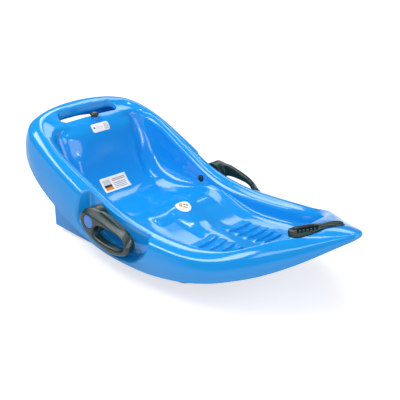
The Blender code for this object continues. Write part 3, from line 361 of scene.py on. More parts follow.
# %% Lever pockets
POCKET_FLOOR, POCKET_MOUTH, POCKET_TOP = 0.194, 0.250, 0.260
POCKET_FLOOR_OUTLINE = (
    (-0.186, 0.165), (-0.184, 0.130), (-0.168, 0.107), (-0.138, 0.090), (-0.100, 0.0765),
    (-0.060, 0.0705), (-0.020, 0.075), (0.006, 0.092), (0.016, 0.115), (0.018, 0.140),
)
POCKET_MOUTH_OUTLINE = (
    (-0.214, 0.165), (-0.211, 0.124), (-0.186, 0.099), (-0.148, 0.0795), (-0.102, 0.067),
    (-0.058, 0.0615), (-0.010, 0.0635), (0.024, 0.080), (0.045, 0.106), (0.050, 0.140),
)
POCKET_EDGE, POCKET_BED, POCKET_RUNOUT = 0.006, 0.10, 0.010
POCKET_SEARCH_X, POCKET_SEARCH_Y = (-0.26, 0.09), 0.15


def smooth_outline(points, per_span, closed=True):
    points, spans = np.asarray(points, float), len(points) - 1
    if not closed:
        return spline(range(spans + 1), points, np.linspace(0, spans, per_span * spans + 1))
    ring = np.vstack((points[-3:], points, points[:4]))
    return spline(range(-3, len(points) + 4), ring, np.arange(0, len(points), 1 / per_span))


def pocket_ring(points):
    curve = smooth_outline(points, 4, closed=False)
    return np.vstack(((curve[0, 0], POCKET_TOP), curve, (curve[-1, 0], POCKET_TOP)))


def distance_inside(spots, ring):
    """Signed distance from each spot to a closed ring, positive inside it."""
    start, end = ring, np.roll(ring, -1, axis=0)
    run = end - start
    offset = spots[:, None] - start[None]
    t = np.clip((offset * run).sum(2) / (run * run).sum(1), 0, 1)
    gap = np.linalg.norm(offset - run * t[..., None], axis=2).min(1)
    above = (start[:, 1] > spots[:, 1:]) != (end[:, 1] > spots[:, 1:])
    slope = run[:, 0] / np.where(run[:, 1] == 0, 1e-9, run[:, 1])
    crossing = start[:, 0] + (spots[:, 1:] - start[:, 1]) * slope
    inside = (above & (spots[:, :1] < crossing)).sum(1) % 2 == 1
    return np.where(inside, gap, -gap)


def press_pocket(points):
    """Push the skirt's points in to the pocket's surface, along y only."""
    flat, (back, front) = points.reshape(-1, 3).copy(), POCKET_SEARCH_X
    beside = (flat[:, 0] > back) & (flat[:, 0] < front)
    near = np.flatnonzero((flat[:, 1] > POCKET_SEARCH_Y) & beside)
    spots = flat[near][:, (0, 2)]
    to_floor = -distance_inside(spots, pocket_ring(POCKET_FLOOR_OUTLINE))
    to_mouth = distance_inside(spots, pocket_ring(POCKET_MOUTH_OUTLINE))
    slope = np.clip(to_floor / np.maximum(to_floor + to_mouth, TINY), 0, 1)
    slope = np.where(to_floor <= 0, 0, np.where(to_mouth <= 0, 1 - to_mouth / POCKET_RUNOUT, slope))
    slope = np.sqrt(slope ** 2 + POCKET_BED ** 2) - POCKET_BED
    pocket = POCKET_FLOOR + (POCKET_MOUTH - POCKET_FLOOR) * slope
    skirt = flat[near, 1]
    soft = np.maximum(POCKET_EDGE - np.abs(skirt - pocket), 0) / POCKET_EDGE
    flat[near, 1] = np.minimum(skirt, pocket) - soft * soft * POCKET_EDGE / 4
    return flat.reshape(points.shape)


pressed = press_pocket(columns)
print("points pressed into each pocket:", int((pressed[..., 1] < columns[..., 1]).sum()))
columns = pressed

# %% [markdown]
# The two halves are welded along the centre plane. The corner where the wall meets the floor is
# relaxed a few times, which rounds it as a mould maker's fillet does, and so is the bend at the top
# of the backrest. A Solidify modifier then gives the sheet its wall thickness, inwards, away from
# the faces that the rider sees.

# %% The skin
WELD = 2e-5
FILLET_PASSES, FILLET_REACH, FILLET_FADE = 14, 4, 0.22
BEND_PASSES, BEND_BACK, BEND_FRONT, BEND_HALF_WIDTH, BEND_FOOT = 260, -0.404, -0.33, 0.118, 0.205
BEND_FADES = (0.016, 0.025, 0.030)


def skin_mesh():
    bm = bmesh.new()
    foot_layer = bm.verts.layers.float.new("foot")
    foot = columns.shape[1] - 1
    for side in (1, -1):
        flip = np.array((1, side, 1))
        ring = [[bm.verts.new(point) for point in column * flip] for column in columns]
        for a, b in zip(ring, ring[1:]):
            for k in range(foot):
                bm.faces.new((a[k], a[k + 1], b[k + 1], b[k]))
        inner = [column[-1] for column in ring]
        for vert in inner:
            vert[foot_layer] = 1.0
        previous = inner[:FIRST_ROW + 1]
        for n in range(1, len(floor)):
            if n == len(floor) - 1:
                row = inner[:LAST_ROW - 1:-1]
            else:
                row = [bm.verts.new(point) for point in floor[n, :-1] * flip] + [inner[FIRST_ROW + n]]
            for k in range(FIRST_ROW):
                bm.faces.new((previous[k], previous[k + 1], row[k + 1], row[k]))
            previous = row
    bmesh.ops.remove_doubles(bm, verts=bm.verts, dist=WELD)
    bmesh.ops.recalc_face_normals(bm, faces=bm.faces)
    top = max(bm.faces, key=lambda face: face.calc_center_median().z)
    if top.normal.z < 0:
        bmesh.ops.reverse_faces(bm, faces=bm.faces)
    return bm, foot_layer


def fillet_shares(bm, layer, pairs):
    """One on the wall's foot, fading over the points beside it."""
    shares = np.array([vert[layer] for vert in bm.verts])
    for _ in range(FILLET_REACH):
        spread = shares.copy()
        np.maximum.at(spread, pairs[:, 0], shares[pairs[:, 1]] - FILLET_FADE)
        np.maximum.at(spread, pairs[:, 1], shares[pairs[:, 0]] - FILLET_FADE)
        shares = spread
    return shares


def bend_shares(spots):
    """One at the top of the backrest, fading to the back, the sides and the foot."""
    x, y, z = spots.T
    back, sides, foot = BEND_FADES
    shares = smooth_step((x - BEND_BACK) / back) * smooth_step((z - BEND_FOOT) / foot)
    return shares * (smooth_step((BEND_HALF_WIDTH - np.abs(y)) / sides) * (x < BEND_FRONT))


def relax(bm, layer):
    """Draw the points towards the middle of their neighbours, each by its share."""
    pairs = np.array([[vert.index for vert in edge.verts] for edge in bm.edges])
    spots = np.array([vert.co for vert in bm.verts])
    count = np.bincount(pairs.ravel(), minlength=len(spots))[:, None]
    rounds = ((FILLET_PASSES, fillet_shares(bm, layer, pairs)), (BEND_PASSES, bend_shares(spots)))
    for passes, shares in rounds:
        for _ in range(passes):
            total = np.zeros_like(spots)
            np.add.at(total, pairs[:, 0], spots[pairs[:, 1]])
            np.add.at(total, pairs[:, 1], spots[pairs[:, 0]])
            spots += (total / count - spots) * shares[:, None] * 0.5
    for vert, spot in zip(bm.verts, spots):
        vert.co = spot


def shade(item, sharp=45):
    """Smooth shading that keeps edges sharper than the angle."""
    item.data.shade_smooth()
    item.data.set_sharp_from_angle(angle=math.radians(sharp))


def new_object(name, bm, finish=None, sharp=40):
    mesh = bpy.data.meshes.new(name)
    bm.to_mesh(mesh)
    bm.free()
    if finish:
        mesh.materials.append(finish)
    item = bpy.data.objects.new(name, mesh)
    bpy.context.scene.collection.objects.link(item)
    shade(item, sharp)
    return item


def settle(item):
    """Turn an object's modifiers into its mesh."""
    graph = bpy.context.evaluated_depsgraph_get()
    mesh = bpy.data.meshes.new_from_object(item.evaluated_get(graph))
    item.modifiers.clear()
    old, item.data = item.data, mesh
    bpy.data.meshes.remove(old)
    return item


def combine(item, others, operation):
    """Add or cut several closed bodies at once, then drop them."""
    for other in others:
        step = item.modifiers.new(other.name, "BOOLEAN")
        step.operation, step.solver, step.object = operation, "MANIFOLD", other
    settle(item)
    for other in others:
        bpy.data.objects.remove(other, do_unlink=True)
    return item


def triangles(item):
    return sum(len(face.vertices) - 2 for face in item.data.polygons)


skin, foot_layer = skin_mesh()
skin.verts.index_update()
relax(skin, foot_layer)
for vert in skin.verts:
    vert.co.x += MIDSHIP
skin.normal_update()
surface = BVHTree.FromBMesh(skin)
print("skin:", len(skin.verts), "points,", len(skin.faces), "faces")

# %% [markdown]
# Everything below the middle of the skin is one solid. Runners, pads and flanges are cut to it, so
# their tops end inside the skin and follow it, and a Boolean union joins them to the moulding.

# %% Body below the skin
BODY_FOOT = -0.05


def below_skin():
    bm = skin.copy()
    bm.normal_update()
    for vert in bm.verts:
        vert.co -= vert.normal * (SKIN / 2)
    border = [edge for edge in bm.edges if edge.is_boundary]
    grown = bmesh.ops.extrude_edge_only(bm, edges=border)["geom"]
    for item in grown:
        if isinstance(item, bmesh.types.BMVert):
            item.co.z = BODY_FOOT
    rim = [item for item in grown if isinstance(item, bmesh.types.BMEdge) and item.is_boundary]
    bmesh.ops.contextual_create(bm, geom=rim)
    bmesh.ops.triangulate(bm, faces=bm.faces)
    bmesh.ops.recalc_face_normals(bm, faces=bm.faces)
    return new_object("below_skin", bm)


print("below the skin: down to", BODY_FOOT)

# %% Shapes made of rings
def loft(rings):
    """Closed body through rings of equal count, with a flat face at each end."""
    bm = bmesh.new()
    loops = [[bm.verts.new(point) for point in ring] for ring in rings]
    count = len(loops[0])
    for a, b in zip(loops, loops[1:]):
        for k in range(count):
            bm.faces.new((a[k], a[(k + 1) % count], b[(k + 1) % count], b[k]))
    bm.faces.new(loops[0][::-1])
    bm.faces.new(loops[-1])
    bmesh.ops.triangulate(bm, faces=[face for face in bm.faces if len(face.verts) > 4])
    bmesh.ops.recalc_face_normals(bm, faces=bm.faces)
    return bm


def grow_outline(points, distance):
    points = np.asarray(points, float)
    ahead, behind = np.roll(points, -1, axis=0), np.roll(points, 1, axis=0)
    area = (behind[:, 0] * points[:, 1] - points[:, 0] * behind[:, 1]).sum()
    along = ahead - behind
    along /= np.linalg.norm(along, axis=1)[:, None]
    out = np.stack((along[:, 1], -along[:, 0]), axis=1)
    return points + (1 if area > 0 else -1) * distance * out


def circle(x, z, radius, count=48):
    turns = np.linspace(0, 2 * math.pi, count, endpoint=False)
    return np.stack((x + radius * np.cos(turns), z + radius * np.sin(turns)), axis=1)


def side_rings(outlines, side):
    """Rings drawn in x and z, at distances along y."""
    return [[(x, side * y, z) for x, z in outline] for outline, y in outlines]


def level_rings(outlines):
    """Rings drawn in x and y, at heights along z."""
    return [[(x, y, z) for x, y in outline] for outline, z in outlines]


def turned_side(x, z, profile, side, count=48):
    return loft(side_rings([(circle(x, z, radius, count), y) for radius, y in profile], side))


def turned_up(x, y, profile, count=48):
    return loft(level_rings([(circle(x, y, radius, count), z) for radius, z in profile]))


print("ring shapes ready")

# %% [markdown]
# Two runners under the floor carry the sled on snow. Each is a hollow rib that follows a keel line:
# flat under the seat, rising to the nose and the tail.

# %% Runners, pads and flanges
RUNNER_Y, RUNNER_WIDTH, RUNNER_WALL = 0.120, 0.026, 0.004
RUNNER_TAIL_X, RUNNER_CORE_FRONT = -0.414 + MIDSHIP, 0.236 + MIDSHIP
RUNNER_CORE_FOOT, RUNNER_CORE_TOP, RUNNER_KEEL_POINTS = -0.06, 0.4, 10
RUNNER_PROFILE = (
    (-0.414, 0.017), (-0.334, 0.010), (-0.230, 0.003), (-0.130, 0.000), (0.030, 0.000),
    (0.080, 0.008), (0.125, 0.0225), (0.170, 0.042), (0.212, 0.064), (0.240, 0.082),
    (0.240, 0.140), (-0.330, 0.300), (-0.362, 0.235), (-0.414, 0.090),
)
PIVOT_X, PIVOT_Z = -0.138 + MIDSHIP, 0.1405
WALL_PAD_RADIUS, WALL_PAD_OUTER, WALL_FACE = 0.0135, 0.1665, 0.1600
SLOT_X, SLOT_HALF_LENGTH, SLOT_HALF_WIDTH = -0.414 + MIDSHIP, 0.098, 0.0156
SLOT_FLANGE_FOOT, SLOT_FLANGE_SLOPE, SLOT_FLANGE_TOP, SLOT_STEP = 0.298, 0.40, 0.36, 0.006
PAD_OVERLAP, SHELL_SHARP = 0.02, 50


def runner(side):
    half = RUNNER_WIDTH / 2
    points = [(x + MIDSHIP, z) for x, z in RUNNER_PROFILE]
    keel = smooth_outline(points[:RUNNER_KEEL_POINTS], 6, closed=False)
    outline = np.vstack((keel, points[RUNNER_KEEL_POINTS:]))
    outline[:, 1] = np.maximum(outline[:, 1], 0.0)
    body = new_object(f"runner {side}", loft(side_rings(
        [(outline, RUNNER_Y - half), (outline, RUNNER_Y + half)], side)))
    rear, front, half = RUNNER_TAIL_X + RUNNER_WALL, RUNNER_CORE_FRONT, half - RUNNER_WALL
    room = [(rear, RUNNER_CORE_FOOT), (front, RUNNER_CORE_FOOT),
            (front, RUNNER_CORE_TOP), (rear, RUNNER_CORE_TOP)]
    core = new_object(f"runner core {side}", loft(side_rings(
        [(room, RUNNER_Y - half), (room, RUNNER_Y + half)], side)))
    return combine(body, [core], "DIFFERENCE")


def slot_outline(grow, count=14):
    half_width, straight = SLOT_HALF_WIDTH + grow, SLOT_HALF_LENGTH - SLOT_HALF_WIDTH
    outline = []
    for end in (1, -1):
        for k in range(count + 1):
            turn = math.pi * k / count
            outline.append((SLOT_X + end * half_width * math.cos(turn),
                            end * (straight + half_width * math.sin(turn))))
    return subdivided(outline, SLOT_STEP)


def subdivided(outline, step):
    """The same outline with points no further apart than the step."""
    points = []
    for a, b in zip(outline, outline[1:] + outline[:1]):
        pieces = max(1, int(np.ceil(math.dist(a, b) / step)))
        points += [(a[0] + (b[0] - a[0]) * k / pieces, a[1] + (b[1] - a[1]) * k / pieces)
                   for k in range(pieces)]
    return points


shell = new_object("sled_moulding", skin.copy(), sharp=SHELL_SHARP)
wall = shell.modifiers.new("wall thickness", "SOLIDIFY")
wall.thickness, wall.offset, wall.use_even_offset = SKIN, -1, False
settle(shell)
flange = slot_outline(SKIN)
foot = [(x, y, SLOT_FLANGE_FOOT + SLOT_FLANGE_SLOPE * (SLOT_X - x)) for x, y in flange]
joins = [loft([foot, [(x, y, SLOT_FLANGE_TOP) for x, y in flange]])]
for side in (1, -1):
    joins.append(turned_side(PIVOT_X, PIVOT_Z, (
        (WALL_PAD_RADIUS, WALL_FACE - PAD_OVERLAP), (WALL_PAD_RADIUS, WALL_PAD_OUTER)), side))
joins = [new_object(f"join {k}", bm) for k, bm in enumerate(joins)] + [runner(1), runner(-1)]
for join in joins:
    combine(join, [below_skin()], "INTERSECT")
combine(shell, joins, "UNION")
print("moulding with runners:", triangles(shell), "triangles")

# %% [markdown]
# The hand slot, the nest of the tow handle and the other openings are cut last. The cutters of the
# slot and the nest widen where they meet the surface, and their top rings follow the surface's
# height, so that the cut has the rounded edge of a moulding.

# %% Sizes of the openings
HANDLE_PIVOT, HANDLE_TAIL = (0.386, 0.008), (0.3255, -0.0790)
HANDLE_THICKNESS, HANDLE_TILT_X, HANDLE_SEAT_Z = 0.016, 0.118, 0.1925
HANDLE_OUTLINE = (
    (-0.0200, 0.0060), (-0.0130, 0.0120), (0.0000, 0.0145), (0.0140, 0.0125), (0.0260, 0.0120),
    (0.0400, 0.0170), (0.0650, 0.0190), (0.0900, 0.0165), (0.1030, 0.0060), (0.1040, -0.0060),
    (0.0910, -0.0165), (0.0650, -0.0190), (0.0400, -0.0170), (0.0260, -0.0105),
    (0.0120, -0.0125), (-0.0020, -0.0140), (-0.0140, -0.0110), (-0.0200, -0.0030),
)
NEST_MARGIN, NEST_FLOOR, NEST_EDGE, NEST_OVERLAP, NEST_TOP = 0.0018, -0.0003, 0.6, 0.002, 0.06
NEST_LEAST_WALL, NEST_WALL_TOP = 0.0004, 0.05
ROPE_HOLE_RADIUS, ROPE_HOLE_FOOT, ROPE_HOLE_TOP = 0.0075, -0.03, 0.01
SLOT_CUT_FOOT, CUT_TOP, RAY_START, DECK_RAY_START, NO_SURFACE = 0.24, 0.45, 0.6, 0.1, 0.3
KNOB_X, KNOB_SEAT_Z, KNOB_SCREW_HOLE = -0.3865 + MIDSHIP, 0.3010, 0.0023
# Turned profiles of the knob's boss, its seat and its screw hole, as radius and height.
KNOB_BOSS = ((0.0120, 0.2880), (0.0120, KNOB_SEAT_Z + 0.001))
KNOB_SEAT = ((0.0148, KNOB_SEAT_Z), (0.0154, KNOB_SEAT_Z + 0.003), (0.0188, 0.35))
KNOB_HOLE = ((KNOB_SCREW_HOLE, 0.27), (KNOB_SCREW_HOLE, 0.35))
# Holes round each lever's pivot: for its boss, for the bolt and for the nut's cap.
PIVOT_HOLES = ((0.0185, POCKET_FLOOR - 0.012, POCKET_FLOOR + 0.006),
               (0.0033, WALL_FACE - PAD_OVERLAP, WALL_PAD_OUTER + 0.01),
               (0.0092, WALL_FACE - PAD_OVERLAP, WALL_FACE))
# How far the cutter's rings grow outwards, and how far they lie over or under the surface.
EDGE_RINGS = ((0.0032, 0.0060), (0.0032, 0.0004), (0.0019, -0.0001), (0.0009, -0.0008),
              (0.0002, -0.0019), (0.0, -0.0032))
print("edge rings:", len(EDGE_RINGS))


# %% Flared cutters
def surface_height(x, y):
    hit = surface.ray_cast(Vector((x, y, RAY_START)), Vector((0, 0, -1)))[0]
    return hit.z if hit else NO_SURFACE


def slot_cutter():
    base = slot_outline(0.0)
    heights = [surface_height(x, y) for x, y in base]
    rings = [[(x, y, CUT_TOP) for x, y in slot_outline(EDGE_RINGS[0][0])]]
    for grow, lift in EDGE_RINGS:
        rings.append([(x, y, z + lift) for (x, y), z in zip(slot_outline(grow), heights)])
    rings.append([(x, y, SLOT_CUT_FOOT) for x, y in base])
    return new_object("slot", loft(rings))


def handle_frame():
    along = Vector((HANDLE_TAIL[0] - HANDLE_PIVOT[0], HANDLE_TAIL[1] - HANDLE_PIVOT[1], 0))
    normal = Vector((-math.sin(HANDLE_TILT_X), 0, math.cos(HANDLE_TILT_X)))
    along = (along - normal * along.dot(normal)).normalized()
    turn = Matrix((along, normal.cross(along), normal)).transposed().to_4x4()
    return Matrix.Translation((HANDLE_PIVOT[0] + MIDSHIP, HANDLE_PIVOT[1], HANDLE_SEAT_Z)) @ turn


deck = handle_frame()


def deck_height(x, y):
    """Height of the skin over the handle's seat plane, along the deck's normal."""
    start, down = deck @ Vector((x, y, DECK_RAY_START)), -(deck.to_3x3() @ Vector((0, 0, 1)))
    hit = surface.ray_cast(start, down)[0]
    return (deck.inverted() @ hit).z if hit else 0.0


def deck_body(name, rings):
    """Body drawn flat on the deck's plane, turned into its place."""
    bm = loft(rings)
    bm.transform(deck)
    return new_object(name, bm)


def nest_cutter(base):
    heights = np.array([max(deck_height(x, y), -NEST_FLOOR) for x, y in base])
    rings = level_rings([(grow_outline(base, NEST_OVERLAP), NEST_TOP)])
    for grow, lift in EDGE_RINGS:
        ring = grow_outline(base, grow * NEST_EDGE)
        lowest = NEST_FLOOR + (NEST_LEAST_WALL if lift > 0 else 0)
        level = np.maximum(heights + lift * NEST_EDGE, lowest)
        rings.append([(x, y, z) for (x, y), z in zip(ring, level)])
    return deck_body("nest", rings + level_rings([(base, NEST_FLOOR)]))


handle_curve = smooth_outline(HANDLE_OUTLINE, 6)
nest_base, nest_outer = (grow_outline(handle_curve, grow) for grow in (NEST_MARGIN, NEST_MARGIN + SKIN))
nest_wall = deck_body("nest wall", level_rings([(nest_outer, -SKIN), (nest_outer, NEST_WALL_TOP)]))
combine(shell, [combine(nest_wall, [below_skin()], "INTERSECT")], "UNION")
combine(shell, [new_object("knob boss", turned_up(KNOB_X, 0, KNOB_BOSS))], "UNION")
print("nest wall and knob boss joined:", triangles(shell), "triangles")

# %% Cuts
rope_hole = circle(0, 0, ROPE_HOLE_RADIUS)
rope_rings = level_rings([(rope_hole, ROPE_HOLE_FOOT), (rope_hole, ROPE_HOLE_TOP)])
cuts = [slot_cutter(), nest_cutter(nest_base), deck_body("rope hole", rope_rings)]
cuts += [new_object("knob cut", turned_up(KNOB_X, 0, profile)) for profile in (KNOB_SEAT, KNOB_HOLE)]
for side in (1, -1):
    for radius, low, high in PIVOT_HOLES:
        hole = turned_side(PIVOT_X, PIVOT_Z, ((radius, low), (radius, high)), side)
        cuts.append(new_object("hole", hole))
combine(shell, cuts, "DIFFERENCE")
shade(shell, SHELL_SHARP)
print("finished moulding:", triangles(shell), "triangles")

# %% [markdown]
# ## Finishes
# An effect that several materials share is built once, as a shader node group with named inputs.
# Moulded plastic is never quite even: a fine orange peel softens its gloss, and short faint rub
# marks run along the sled. Both come from noise on Object coordinates, so they stay put when a
# part moves.

# %% Nodes in one line each
def feed(tree, node, inputs):
    """Set a node's inputs: a socket is linked to its input, anything else is the input's value."""
    for label, value in inputs.items():
        if isinstance(value, bpy.types.NodeSocket):
            tree.links.new(value, node.inputs[label])
        else:
            node.inputs[label].default_value = value
    return node


def add_node(tree, kind, inputs=None, **settings):
    node = tree.nodes.new(kind)
    for key, value in settings.items():
        setattr(node, key, value)
    return feed(tree, node, inputs or {})


def maths(tree, operation, a, b, clamp=False):
    node = add_node(tree, "ShaderNodeMath", {0: a, 1: b}, operation=operation, use_clamp=clamp)
    return node.outputs[0]


def noise(tree, vector, scale, detail=2.0, roughness=0.5):
    node = add_node(tree, "ShaderNodeTexNoise", {
        "Vector": vector, "Scale": scale, "Detail": detail, "Roughness": roughness})
    return node.outputs["Fac"]


def mixed(tree, factor, a, b):
    node = add_node(tree, "ShaderNodeMix", {"Factor": factor, "A": a, "B": b}, data_type="RGBA")
    return node.outputs["Result"]


def bump(tree, height, strength, distance):
    node = add_node(tree, "ShaderNodeBump", {
        "Height": height, "Strength": strength, "Distance": distance})
    return node.outputs["Normal"]


def object_spots(tree):
    return add_node(tree, "ShaderNodeTexCoord").outputs["Object"]


def add_sockets(tree, in_out, sockets):
    """Named inputs or outputs of a tree, each with its kind and, if it has one, its first value."""
    for label, kind, *value in sockets:
        socket = tree.interface.new_socket(name=label, in_out=in_out, socket_type=kind)
        if value:
            socket.default_value = value[0]


print("node helpers ready")

# %% Surface of moulded plastic
RUB_LIMIT, RUB_CONTRAST, RUB_STRETCH = 0.62, 8.0, (0.25, 1.0, 1.0)


def build_mould_skin():
    """Fine orange peel, slow unevenness and short rub marks of a moulded surface."""
    tree = bpy.data.node_groups.new("mould_skin", "ShaderNodeTree")
    add_sockets(tree, "INPUT", (
        ("Vector", "NodeSocketVector"), ("Peel Scale", "NodeSocketFloat", 900.0),
        ("Flow Scale", "NodeSocketFloat", 7.0), ("Rub Scale", "NodeSocketFloat", 60.0),
        ("Rub Amount", "NodeSocketFloat", 0.3)))
    add_sockets(tree, "OUTPUT", [(label, "NodeSocketFloat") for label in ("Peel", "Flow", "Rub")])
    given, end = tree.nodes.new("NodeGroupInput").outputs, tree.nodes.new("NodeGroupOutput")
    spots = given["Vector"]
    peel, flow = (noise(tree, spots, given[f"{word} Scale"]) for word in ("Peel", "Flow"))
    stretch = add_node(tree, "ShaderNodeMapping", {"Vector": spots, "Scale": RUB_STRETCH})
    rub = noise(tree, stretch.outputs[0], given["Rub Scale"], detail=6.0, roughness=0.65)
    rub = maths(tree, "SUBTRACT", rub, RUB_LIMIT, clamp=True)
    rub = maths(tree, "MULTIPLY", rub, RUB_CONTRAST, clamp=True)
    rub = maths(tree, "MULTIPLY", rub, given["Rub Amount"])
    feed(tree, end, {"Peel": peel, "Flow": flow, "Rub": rub})
    return tree


MOULD_SKIN = build_mould_skin()
print("shared effects:", MOULD_SKIN.name)

# %% Moulded plastics and plated steel
# Each plastic has its two near colours, its roughness, and the strength of its peel and rub marks.
PLASTICS = {
    "sky_blue_shell": ((0.006, 0.275, 0.740), (0.010, 0.300, 0.790), 0.075, 0.02, 0.15),
    "hub_cap_blue": ((0.035, 0.200, 0.660), (0.050, 0.230, 0.720), 0.25, 0.05, 0.2),
    "black_polyamide": ((0.006, 0.024, 0.026), (0.010, 0.034, 0.037), 0.26, 0.22, 0.3),
}
PEEL_DEPTH, RUB_ROUGHNESS, FLOW_ROUGHNESS = 0.0004, 0.25, 0.05
PLATE_GRAIN, PLATE_GLOSS, PLATE_SPREAD = 260.0, 0.2, 0.25
PLATE_DARK, PLATE_LIGHT = (0.46, 0.47, 0.49, 1), (0.66, 0.66, 0.65, 1)


def plain_material(name, roughness=0.4, metallic=0.0):
    finish = bpy.data.materials.new(name)
    finish.use_nodes = True
    tree, shader = finish.node_tree, finish.node_tree.nodes["Principled BSDF"]
    feed(tree, shader, {"Roughness": roughness, "Metallic": metallic})
    return finish, tree, shader


def moulded(name, dark, light, roughness, peel, rub):
    """Moulded plastic: two near colours by slow noise, a fine peel and faint rub marks."""
    finish, tree, shader = plain_material(name)
    skin_of = add_node(tree, "ShaderNodeGroup", {"Vector": object_spots(tree), "Rub Amount": rub},
                       node_tree=MOULD_SKIN).outputs
    rubbed = maths(tree, "ADD", maths(tree, "MULTIPLY", skin_of["Rub"], RUB_ROUGHNESS), roughness)
    uneven = maths(tree, "MULTIPLY", skin_of["Flow"], FLOW_ROUGHNESS)
    feed(tree, shader, {
        "Base Color": mixed(tree, skin_of["Flow"], (*dark, 1.0), (*light, 1.0)),
        "Roughness": maths(tree, "ADD", rubbed, uneven),
        "Normal": bump(tree, skin_of["Peel"], peel, PEEL_DEPTH)})
    return finish


def plated_steel():
    """Zinc plate, whose fine grain varies both its grey and its gloss."""
    finish, tree, shader = plain_material("zinc_plated_steel", metallic=1.0)
    grain = noise(tree, object_spots(tree), PLATE_GRAIN, detail=5.0)
    feed(tree, shader, {
        "Base Color": mixed(tree, grain, PLATE_DARK, PLATE_LIGHT),
        "Roughness": maths(tree, "ADD", maths(tree, "MULTIPLY", grain, PLATE_SPREAD), PLATE_GLOSS)})
    return finish


blue, cap_blue, black = (moulded(name, *facts) for name, facts in PLASTICS.items())
steel = plated_steel()
print("finishes:", [item.name for item in bpy.data.materials])


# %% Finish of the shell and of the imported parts
def dress(item, finish, body, node=None):
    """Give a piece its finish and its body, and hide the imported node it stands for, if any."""
    item.data.materials.clear()
    item.data.materials.append(finish)
    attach(item, body)
    if node:
        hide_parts(node)


dress(shell, blue, "sled", "shell")
NODE_FINISHES = {"hub_cap": cap_blue, "nut_cap": black, "brake_lever": black, "tow_handle": black,
                 "coupling_knob": black, "coupling_knob_screw": steel}
for name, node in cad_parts.items():
    found = [finish for start, finish in NODE_FINISHES.items() if name.startswith(start)]
    node.data.materials.clear()
    node.data.materials.append(found[-1] if found else steel)
print("packed parts with a finish:", len(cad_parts))

# %% [markdown]
# ## Brake levers
# On the real sled each lever is one thick black moulding: a round hub with a long hand loop whose
# upper arm is bevelled, so that a crease runs from the hub to the tip. Sharp unions of simple
# bodies would look like blocks. So the bodies are remeshed to small even cells and relaxed, which
# blends hub, arms and tip into one soft form. The exact seats for bolt and cap are cut afterwards.

# %% Lever form
LEVER_OUTLINE = (
    (-0.0300, 0.0060), (-0.0210, 0.0230), (-0.0020, 0.0320), (0.0220, 0.0300), (0.0500, 0.0235),
    (0.0860, 0.0125), (0.1140, 0.0035), (0.1300, -0.0080), (0.1390, -0.0260), (0.1350, -0.0420),
    (0.1210, -0.0535), (0.0910, -0.0610), (0.0610, -0.0595), (0.0220, -0.0490),
    (-0.0120, -0.0310), (-0.0270, -0.0130),
)
GRIP_OPENING = (
    (0.0180, -0.0150), (0.0330, -0.0050), (0.0600, -0.0035), (0.0850, -0.0060),
    (0.1080, -0.0110), (0.1210, -0.0240), (0.1170, -0.0390), (0.0960, -0.0440),
    (0.0620, -0.0425), (0.0320, -0.0365), (0.0190, -0.0280),
)
GRIP_FLARE = ((0.0060, -0.002), (0.0045, 0.0005), (0.0016, 0.0035), (0.0, 0.0075))
LEVER_OUTER_FACE, GRIP_INNER_FACE, LEVER_CELL = 0.248, 0.222, 0.0011
LEVER_INNER_ROUND, LEVER_OUTER_ROUND = 0.006, 0.0055
HUB_INNER_FACE, HUB_RADIUS, HUB_BEVEL_IN, HUB_BEVEL_UP = 0.2025, 0.0315, 0.001, 0.0015
BOSS_RADIUS, BOSS_FOOT = 0.017, 0.174


def rounded_slab(outline, low, high, round_low, round_high, steps=5):
    """Rings of a slab whose rims are quarter rounds."""
    turns = [math.pi / 2 * k / steps for k in range(steps + 1)]
    rings = [(grow_outline(outline, -round_low * (1 - math.sin(turn))),
              low + round_low * (1 - math.cos(turn))) for turn in turns]
    return rings + [(grow_outline(outline, -round_high * (1 - math.cos(turn))),
                     high - round_high * (1 - math.sin(turn))) for turn in turns]


def remeshed(item, cell, passes):
    """Even cells all over, then a few relaxing passes that round every edge."""
    step = item.modifiers.new("cells", "REMESH")
    step.mode, step.voxel_size, step.adaptivity = "VOXEL", cell, 0.0
    settle(item)
    bm = bmesh.new()
    bm.from_mesh(item.data)
    for _ in range(passes):
        bmesh.ops.smooth_vert(bm, verts=bm.verts, factor=0.5,
                              use_axis_x=True, use_axis_y=True, use_axis_z=True)
    bm.to_mesh(item.data)
    bm.free()


def lever_blank(side, word):
    """Slab with its grip opening, which flares towards both faces, and the hub behind it."""
    at_pivot = np.array((PIVOT_X, PIVOT_Z))
    outline = smooth_outline(LEVER_OUTLINE, 6) + at_pivot
    opening = smooth_outline(GRIP_OPENING, 6) + at_pivot
    body = new_object(f"hand_lever_{word}", loft(side_rings(rounded_slab(
        outline, GRIP_INNER_FACE, LEVER_OUTER_FACE, LEVER_INNER_ROUND, LEVER_OUTER_ROUND), side)))
    flare = [(grow_outline(opening, grow), GRIP_INNER_FACE + depth) for grow, depth in GRIP_FLARE]
    flare += [(grow_outline(opening, grow), LEVER_OUTER_FACE - depth) for grow, depth in GRIP_FLARE[::-1]]
    combine(body, [new_object("grip opening", loft(side_rings(flare, side)))], "DIFFERENCE")
    hub = new_object("hub", turned_side(PIVOT_X, PIVOT_Z, (
        (BOSS_RADIUS, BOSS_FOOT), (BOSS_RADIUS, HUB_INNER_FACE),
        (HUB_RADIUS - HUB_BEVEL_IN, HUB_INNER_FACE), (HUB_RADIUS, HUB_INNER_FACE + HUB_BEVEL_UP),
        (HUB_RADIUS, GRIP_INNER_FACE + LEVER_INNER_ROUND)), side))
    return combine(body, [hub], "UNION")


levers = {word: lever_blank(side, word) for side, word in ((1, "left"), (-1, "right"))}
for item in levers.values():
    remeshed(item, LEVER_CELL, 4)
print("lever blanks:", {word: triangles(item) for word, item in levers.items()}, "triangles each")

# %% [markdown]
# The bevel is a rule on the mesh's points. Above the crease the outer face falls back at a fixed
# slope, and the arm's inner edge is lifted a little, which gives the arm its sloping top. The cells
# are then made even once more.

